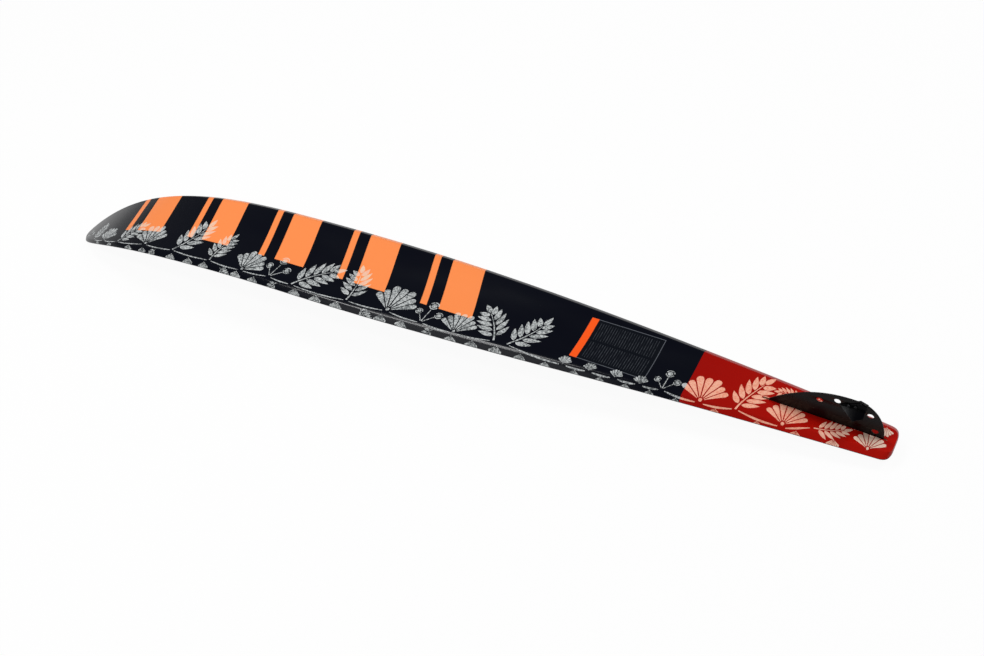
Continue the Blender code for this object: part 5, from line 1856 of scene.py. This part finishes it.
class FinBlade:
    """The fin plate: its long swept edge, its round heel, its holes and the tab in the clamp."""

    slope_steps = 72
    heel_steps = 48
    round_edge = 0.00035

    def __init__(self, sizes: FinSizes, place: SkiPlace) -> None:
        """Keep the fin's sizes and the ski's place."""
        self.sizes = sizes
        self.place = place

    def outline(self) -> list[Point]:
        """Return the outer outline, from the front of the swept edge round to the tab."""
        s = self.sizes
        points = []
        for i in range(self.slope_steps + 1):
            u = 1.0 - i / self.slope_steps
            height = 1.0 - u**s.edge_power
            points.append((s.deepest_at + (s.front_at - s.deepest_at) * u, s.base_level + s.depth * height))
        for i in range(1, self.heel_steps + 1):
            v = math.sin(0.5 * math.pi * i / self.heel_steps)
            height = max(1.0 - v**s.edge_power, 0.0) ** (1.0 / s.rear_power)
            points.append((s.deepest_at - (s.deepest_at - s.rear_at) * v, s.base_level + s.depth * height))
        (rear, front), (bottom, shoulder) = s.tab_x, s.tab_z
        points += [(s.rear_at, shoulder), (rear, shoulder), (rear, bottom)]
        points += [(front, bottom), (front, shoulder), (s.front_at, shoulder)]
        return points

    def openings(self) -> list[list[Point]]:
        """Return the outlines of the round holes, the bolt slots and the wing's holes."""
        s = self.sizes
        found = [circle(s.level(hole), s.hole_radius, 48) for hole in s.holes]
        radius, reach = s.bolt_slot
        found += [long_hole((x, s.bolt_z), radius, reach, 0.5 * math.pi) for x in s.bolt_x]
        found.append(circle(s.level(s.pivot), s.screw_radius + GAP, 24))
        arm = Vector(s.lock) - Vector(s.pivot)
        swing = arm.length * math.sin(math.radians(s.travel_deg))
        angle = math.atan2(arm.y, arm.x) + 0.5 * math.pi
        found.append(long_hole(s.level(s.lock), s.screw_radius + GAP, swing, angle))
        return found

    def build(self) -> Piece:
        """Model the fin plate."""
        outlines = [self.outline(), *self.openings()]
        piece = Bench.plate("fin_plate", outlines, self.sizes.thickness, self.round_edge)
        upright = Matrix.Rotation(math.radians(90.0), 4, "X")
        Bench.settle(piece, self.place.seat() @ upright)
        Bench.smooth(piece, 40.0)
        return piece


class FinWing:
    """One of the two small wings that droop from the fin."""

    room = 0.0012
    edge_break = 0.00025
    hole_reach = 0.0115

    def __init__(self, sizes: FinSizes, place: SkiPlace, side: Side) -> None:
        """Keep the fin's sizes, the ski's place and the wing's side."""
        self.sizes = sizes
        self.place = place
        self.side = side

    @staticmethod
    def between(x: float, low: Point, high: Point) -> float:
        """Return the height at x of the straight line through two points."""
        return low[1] + (high[1] - low[1]) * (x - low[0]) / (high[0] - low[0])

    def section(self, x: float) -> list[Vector]:
        """Return the wing's section at x: a flange on the fin and a blade that droops outwards."""
        s = self.sizes
        inner, outer = self.room, self.room + s.wing_thickness
        droop = math.tan(math.radians(s.droop_deg))
        root = self.between(x, s.root_rear, s.root_front)
        front_top = (s.root_front[0], s.root_front[1] + s.front_height)
        if x < s.top_corner[0]:
            top = self.between(x, s.rear_corner, s.top_corner)
        else:
            top = self.between(x, s.top_corner, front_top)
        widest = (s.tip_at, s.half_span)
        if x < s.tip_at:
            reach = self.between(x, (s.root_rear[0], s.half_span_rear), widest)
        else:
            reach = self.between(x, widest, (s.root_front[0], outer + 2.0 * GAP))
        points = [
            (inner, root),
            (reach, root - droop * (reach - inner)),
            (reach, root - droop * (reach - inner) + s.wing_thickness),
            (outer, root - droop * (outer - inner) + s.wing_thickness),
            (outer, top),
            (inner, top),
        ]
        return [Vector((x, self.side.value * y, s.base_level + z)) for y, z in points]

    def build(self) -> Piece:
        """Model the wing with its two screw holes."""
        s = self.sizes
        places = (s.root_rear[0], s.top_corner[0], s.tip_at, s.root_front[0])
        piece = Bench.wrap(f"wing_{self.side.name.lower()}_shaped", [self.section(x) for x in places])
        Bench.soften(piece, self.edge_break, 2, 35.0)
        for point in (s.pivot, s.lock):
            x, z = s.level(point)
            end = (x, self.side.value * self.hole_reach, z)
            Bench.carve(piece, Bench.rod("hole_tool", (x, 0.0, z), end, s.screw_radius + GAP, 24))
        Bench.settle(piece, self.place.seat())
        Bench.smooth(piece, 32.0)
        return piece


class Studio:
    """The white studio: a floor with a low wall, soft lamps and the camera."""

    floor_radius = 9.0
    wall_height = 1.7
    white = 0.85
    white_in_gloss = 0.40
    glow = 0.95
    gloss_share = 0.37
    even_light = 0.10
    lens = 45.41
    camera_at = (-0.2067, 1.1489, 1.4661)
    camera_turn = (
        (-0.8672, -0.4763, -0.1453), (0.2648, -0.6882, 0.6755), (-0.4217, 0.5473, 0.7229),
    )

    def floor_finish(self) -> bpy.types.Material:
        """Return the matt white that shows as white in view and, softer, in reflections.

        From below the floor can be looked through.
        """
        graph = Graph("studio_white")
        light_path = graph.add("ShaderNodeLightPath")
        in_gloss = light_path.outputs["Is Glossy Ray"]
        glossy = graph.math("MULTIPLY", in_gloss, self.gloss_share)
        seen = graph.math("ADD", light_path.outputs["Is Camera Ray"], glossy)
        seen = graph.math("ADD", seen, light_path.outputs["Is Transmission Ray"], clamp=True)
        speck = graph.noise(graph.place(), 60.0, 3.0)
        white = graph.mix(speck, (self.white,) * 3, (1.03 * self.white,) * 3)
        graph.set(
            Base_Color=graph.mix(in_gloss, white, (self.white_in_gloss,) * 3),
            Roughness=graph.span(speck, 0.3, 0.7, 0.85, 0.95),
            Specular_IOR_Level=0.0,
        )
        glow = graph.add("ShaderNodeEmission")
        glow.inputs["Color"].default_value = (1.0, 1.0, 1.0, 1.0)
        blend = graph.add("ShaderNodeMixShader")
        graph.put(graph.math("MULTIPLY", seen, self.glow), blend.inputs[0])
        graph.tree.links.new(graph.shader.outputs[0], blend.inputs[1])
        graph.tree.links.new(glow.outputs[0], blend.inputs[2])
        below = graph.add("ShaderNodeMixShader")
        graph.put(graph.add("ShaderNodeNewGeometry").outputs["Backfacing"], below.inputs[0])
        graph.tree.links.new(blend.outputs[0], below.inputs[1])
        graph.tree.links.new(graph.add("ShaderNodeBsdfTransparent").outputs[0], below.inputs[2])
        output = next(node for node in graph.tree.nodes if node.type == "OUTPUT_MATERIAL")
        graph.tree.links.new(below.outputs[0], output.inputs["Surface"])
        return graph.material

    def build_floor(self) -> Piece:
        """Model the round floor and the low wall round it as one piece."""
        bpy.ops.object.select_all(action="DESELECT")
        bpy.ops.mesh.primitive_circle_add(vertices=96, radius=self.floor_radius, fill_type="NGON")
        piece = Bench.named("studio_floor")
        with Bench.editing(piece, "EDGE"):
            mesh = bmesh.from_edit_mesh(piece.data)
            for edge in mesh.edges:
                edge.select_set(edge.is_boundary)
            bmesh.update_edit_mesh(piece.data)
            for rise, grow in ((0.05, 1.035), (0.30, 1.05), (0.65, 1.02)):
                bpy.ops.mesh.extrude_region_move(
                    TRANSFORM_OT_translate={"value": (0.0, 0.0, rise * self.wall_height)}
                )
                bpy.ops.transform.resize(value=(grow, grow, 1.0), center_override=(0.0, 0.0, 0.0))
            bpy.ops.mesh.select_all(action="SELECT")
            bpy.ops.mesh.normals_make_consistent(inside=True)
        piece.data.materials.append(self.floor_finish())
        return piece

    def lamp(
        self, name: str, place: Vector, aim: Optional[Vector], size: tuple[float, float], power: float
    ) -> None:
        """Add a soft box.

        Args:
            name: The lamp's name.
            place: Where it stands.
            aim: Where it points, or None for straight down with its width along the ski.
            size: Its width and height.
            power: Its power in watts.
        """
        data = bpy.data.lights.new(name, "AREA")
        data.shape = "RECTANGLE"
        data.size, data.size_y = size
        data.energy = power
        made = Bench.hang(name, data)
        made.matrix_world = Matrix.Translation(place)
        if aim is not None:
            made.matrix_world @= (aim - place).to_track_quat("-Z", "Y").to_matrix().to_4x4()

    def light(self) -> None:
        """Add the lamps and the world's even light."""
        centre = Vector((0.0, 0.0, 0.1))
        self.lamp("key_softbox", Vector((1.00, -0.40, 3.2)), centre, (1.0, 0.8), 46.0)
        self.lamp("edge_softbox", Vector((1.40, 1.40, 3.2)), None, (1.6, 0.40), 48.0)
        self.lamp("rear_softbox", Vector((-2.2, -1.00, 3.0)), centre, (1.2, 0.9), 47.0)
        self.lamp("side_card", Vector((1.35, 2.55, 3.2)), None, (2.2, 0.8), 6.5)
        bpy.context.scene.view_settings.view_transform = "Standard"
        world = bpy.data.worlds.new("studio_world")
        bpy.context.scene.world = world
        world.use_nodes = True
        tree = world.node_tree
        tree.nodes.clear()
        light_path = tree.nodes.new("ShaderNodeLightPath")
        blend = tree.nodes.new("ShaderNodeMixShader")
        output = tree.nodes.new("ShaderNodeOutputWorld")
        tree.links.new(light_path.outputs["Is Camera Ray"], blend.inputs[0])
        for socket, strength in zip(blend.inputs[1:], (self.even_light, 1.0)):
            ground = tree.nodes.new("ShaderNodeBackground")
            ground.inputs["Color"].default_value = (1.0, 1.0, 1.0, 1.0)
            ground.inputs["Strength"].default_value = strength
            tree.links.new(ground.outputs[0], socket)
        tree.links.new(blend.outputs[0], output.inputs["Surface"])

    def stand_camera(self, place: SkiPlace) -> None:
        """Stand the camera where the photo was taken from."""
        turn = Matrix(self.camera_turn).transposed().to_quaternion().normalized().to_matrix().to_4x4()
        data = bpy.data.cameras.new("photo_camera")
        data.lens = self.lens
        data.sensor_width = 36.0
        data.clip_end = 60.0
        camera = Bench.hang("photo_camera", data)
        camera.matrix_world = place.ski() @ Matrix.Translation(self.camera_at) @ turn
        bpy.context.scene.camera = camera


class WaterSki:
    """The whole ski: its shells, its print, its fin and the clamp with its screws."""

    foam_node = "foam_core"
    mount_screw = ScrewSizes(0.0021, 0.0090, 0.0042, 0.0028, 0.0007, 0.0030)
    post_screw = ScrewSizes(0.0021, 0.0086, 0.0042, 0.0028, 0.0007, 0.0030)
    clamp_bolt = ScrewSizes(0.0020, 0.0147, 0.0035, 0.0030, 0.0007, 0.0070)
    length_screw = ScrewSizes(0.0015, 0.0190, 0.0035, 0.0030, 0.0005, 0.0050)
    wing_screw = ScrewSizes(0.0015, 0.0081, 0.0023, 0.0018, 0.0005, 0.0020)
    binding_insert = InsertSizes(0.0110, 0.0025, 0.0010, grooves=((0.0035, 0.0065),))
    fin_insert = InsertSizes(0.0060, 0.0024, 0.0007)
    front_plate = (0.845, 0.095, 0.088)
    rear_plate = (0.550, 0.070, 0.062)

    def __init__(self) -> None:
        """Set the place, the form and the sizes of the ski."""
        self.place = SkiPlace()
        self.form = SkiForm()
        self.fin = FinSizes()
        self.clamp = ClampSizes()
        # The wings are the fin's black anodised metal; this copy's darker colour is painted shade.
        self.wing_shaded_finish = MetalFinish(
            "wing_anodised", (0.0016, 0.0016, 0.0024), (0.016, 0.015, 0.016), 0.0, 0.26,
            grain=(0.5, 1.0, 1.0), specular=0.06,
        ).build()
        finishes = {
            Slot.BASE: PrintFinish(),
            Slot.DECK: LaminateFinish(),
            Slot.FOAM: FoamFinish(),
            Slot.BRASS: MetalFinish("turned_brass", (0.70, 0.46, 0.16), (0.48, 0.29, 0.10), 1.0, 0.30),
            Slot.BLACK_ALLOY: MetalFinish(
                "black_anodised", (0.0050, 0.0036, 0.0036), (0.013, 0.010, 0.010), 0.0, 0.30,
                grain=(0.06, 1.0, 1.0), grain_height=0.000006, specular=0.17,
            ),
            Slot.CLAMP_ALLOY: MetalFinish(
                "clamp_anodised", (0.035, 0.035, 0.038), (0.13, 0.13, 0.135), 0.75, 0.38,
                grain=(0.05, 1.0, 1.0), grain_height=0.000025,
            ),
            Slot.STEEL: MetalFinish("stainless_steel", (0.56, 0.56, 0.57), (0.40, 0.40, 0.41), 1.0, 0.26),
            Slot.DARK_STEEL: MetalFinish("blackened_steel", (0.030, 0.030, 0.033), (0.12,) * 3, 0.8, 0.36),
        }
        self.finishes = {slot: finish.build() for slot, finish in finishes.items()}

    def enter(self, piece: Piece, body: Body, slot: Slot, *nodes: str) -> None:
        """Dress a piece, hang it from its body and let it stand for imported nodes."""
        piece.data.materials.clear()
        piece.data.materials.append(self.finishes[slot])
        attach(piece, body.value)
        if nodes:
            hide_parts(*nodes)
        LOG.info("%s rides on %s", piece.name, body.value)

    def repeat(
        self, pattern: Piece, body: Body, slot: Slot, places: Sequence[tuple[str, Matrix]]
    ) -> None:
        """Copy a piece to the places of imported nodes, and remove the pattern."""
        for node, place in places:
            self.enter(Bench.copied(pattern, node + "_made", place), body, slot, node)
        Bench.remove(pattern)

    def on_seat(self, x: float, y: float, z: float, way: Sequence[float]) -> Matrix:
        """Return the place of a small part that is given in the frame of the clamp's seat."""
        return self.place.seat() @ facing((x, y, z), way)

    def binding_places(self) -> list[tuple[str, Matrix]]:
        """Return the names and places of the binding inserts."""
        rear, front = self.form.binding
        slope = (self.form.deck_height(front) - self.form.deck_height(rear)) / (front - rear)
        up = Vector((-slope, 0.0, 1.0)).normalized()
        places = []
        for label, (middle, pitch, spread) in (("front", self.front_plate), ("rear", self.rear_plate)):
            holes = [(middle + row * pitch, 0.5 * side * spread) for row in (-1, 0, 1) for side in (1, -1)]
            for number, (x, y) in enumerate(holes, 1):
                mouth = (x, y, self.form.deck_height(x))
                places.append((f"{label}_insert_{number}", self.place.ski() @ facing(mouth, up)))
        return places

    def mounts(self, name: str, z: float, way: Sequence[float]) -> list[tuple[str, Matrix]]:
        """Return the numbered names and the places of what screws the fin clamp down."""
        c = self.clamp
        holes = [(x, side * c.mount_y) for x in c.mount_x for side in (1, -1)]
        return [(f"{name}_{number}", self.on_seat(x, y, z, way)) for number, (x, y) in enumerate(holes, 1)]

    def post_holes(self, z: float, way: Sequence[float]) -> list[tuple[str, Matrix]]:
        """Return the names and the places of what screws the adjuster post down."""
        x, y = self.clamp.post_screw_x, self.clamp.post_screw_y
        sides = (("left", y), ("right", -y))
        return [(f"post_screw_{label}", self.on_seat(x, at, z, way)) for label, at in sides]

    def build_body(self) -> None:
        """Model the two laminates and the print, and dress the core."""
        base = BaseShell(self.form, self.place).build()
        self.enter(base, Body.SKI, Slot.BASE, "base_laminate")
        garland = PrintedGarland(self.form, self.place).build()
        self.enter(garland, Body.SKI, Slot.BASE)
        garland.data.materials[0] = MotifFinish().build()
        up = Vector((0.0, 0.0, 1.0))
        wide = self.binding_places() + self.mounts("fin_insert", 0.0, up)
        holes = [(place, DeckShell.pocket_radius) for _, place in wide]
        holes += [(place, DeckShell.screw_pocket_radius) for _, place in self.post_holes(0.0, up)]
        pockets = [(place.to_translation(), place.to_3x3() @ up, radius) for place, radius in holes]
        deck = DeckShell(self.form, self.place).build(pockets)
        self.enter(deck, Body.SKI, Slot.DECK, "deck_laminate")
        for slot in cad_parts[self.foam_node].material_slots:
            slot.material = self.finishes[Slot.FOAM]

    def build_inserts(self) -> None:
        """Model the binding inserts and the clamp's inserts."""
        pattern = BrassInsert("binding_pattern", self.binding_insert).build()
        self.repeat(pattern, Body.SKI, Slot.BRASS, self.binding_places())
        pattern = BrassInsert("fin_pattern", self.fin_insert).build()
        self.repeat(pattern, Body.SKI, Slot.BRASS, self.mounts("fin_insert", 0.0, (0, 0, 1)))

    def build_clamp(self) -> None:
        """Model the fin clamp, its post and all its screws."""
        c = self.clamp
        maker = FinClamp(c, self.place)
        for side in Side:
            self.enter(maker.half(side), Body.FIN_BLOCK, Slot.CLAMP_ALLOY, f"clamp_{side.name.lower()}")
        for front, node in ((True, "front_end_block"), (False, "rear_end_block")):
            self.enter(maker.end_block(front), Body.FIN_BLOCK, Slot.CLAMP_ALLOY, node)
        self.enter(maker.post(), Body.SKI, Slot.CLAMP_ALLOY, "adjuster_post")
        self.enter(maker.clip(), Body.LENGTH_SCREW, Slot.DARK_STEEL, "length_screw_clip")
        down, head = (0, 0, -1), c.flange_face - GAP
        y = c.room + c.wall + GAP
        bolts = [(f"clamp_bolt_{label}", self.on_seat(x, y, c.bolt_z, (0, 1, 0))) for label, x in c.bolt_x]
        length = self.on_seat(c.post_x[1] + GAP, 0.0, c.length_z, (1, 0, 0))
        for name, sizes, body, places in (
            ("mount", self.mount_screw, Body.SKI, self.mounts("mount_screw", head, down)),
            ("post", self.post_screw, Body.SKI, self.post_holes(head, down)),
            ("bolt", self.clamp_bolt, Body.FIN_BLOCK, bolts),
            ("length", self.length_screw, Body.LENGTH_SCREW, [("length_screw", length)]),
        ):
            self.repeat(SocketScrew(f"{name}_pattern", sizes).build(), body, Slot.STEEL, places)
        bolt_x = dict(c.bolt_x)
        for label, body in (("front", Body.DEPTH_FRONT), ("rear", Body.DEPTH_REAR)):
            place = self.on_seat(bolt_x[label], 0.0, -c.tab_drop - GAP, (0, 0, 1))
            self.repeat(SetScrew.build("set_pattern"), body, Slot.DARK_STEEL, [(body.value, place)])

    def build_fin(self) -> None:
        """Model the fin, its wings and the wings' screws and nuts."""
        s = self.fin
        self.enter(FinBlade(s, self.place).build(), Body.FIN, Slot.BLACK_ALLOY, "fin_blade")
        for side in Side:
            wing = FinWing(s, self.place, side).build()
            self.enter(wing, Body.WING, Slot.BLACK_ALLOY, f"wing_{side.name.lower()}")
            # The wing gets the darker copy of the fin's finish: painted shade.
            wing.data.materials[0] = self.wing_shaded_finish
        y = FinWing.room + s.wing_thickness + GAP
        holes = (("pivot", s.level(s.pivot)), ("lock", s.level(s.lock)))
        places = [(f"wing_{label}_screw", self.on_seat(x, y, z, (0, 1, 0))) for label, (x, z) in holes]
        self.repeat(SocketScrew("wing_pattern", self.wing_screw).build(), Body.WING, Slot.DARK_STEEL, places)
        places = [(f"wing_{label}_nut", self.on_seat(x, -y, z, (0, -1, 0))) for label, (x, z) in holes]
        self.repeat(HexNut.build("nut_pattern"), Body.WING, Slot.DARK_STEEL, places)

    def build(self) -> None:
        """Model every piece."""
        self.build_body()
        self.build_inserts()
        self.build_clamp()
        self.build_fin()


def main() -> None:
    """Build the ski and the studio."""
    logging.basicConfig(level=logging.INFO)
    ski = WaterSki()
    ski.build()
    studio = Studio()
    studio.build_floor()
    studio.light()
    studio.stand_camera(ski.place)
    LOG.info("water ski built")


if __name__ == "__main__":
    main()
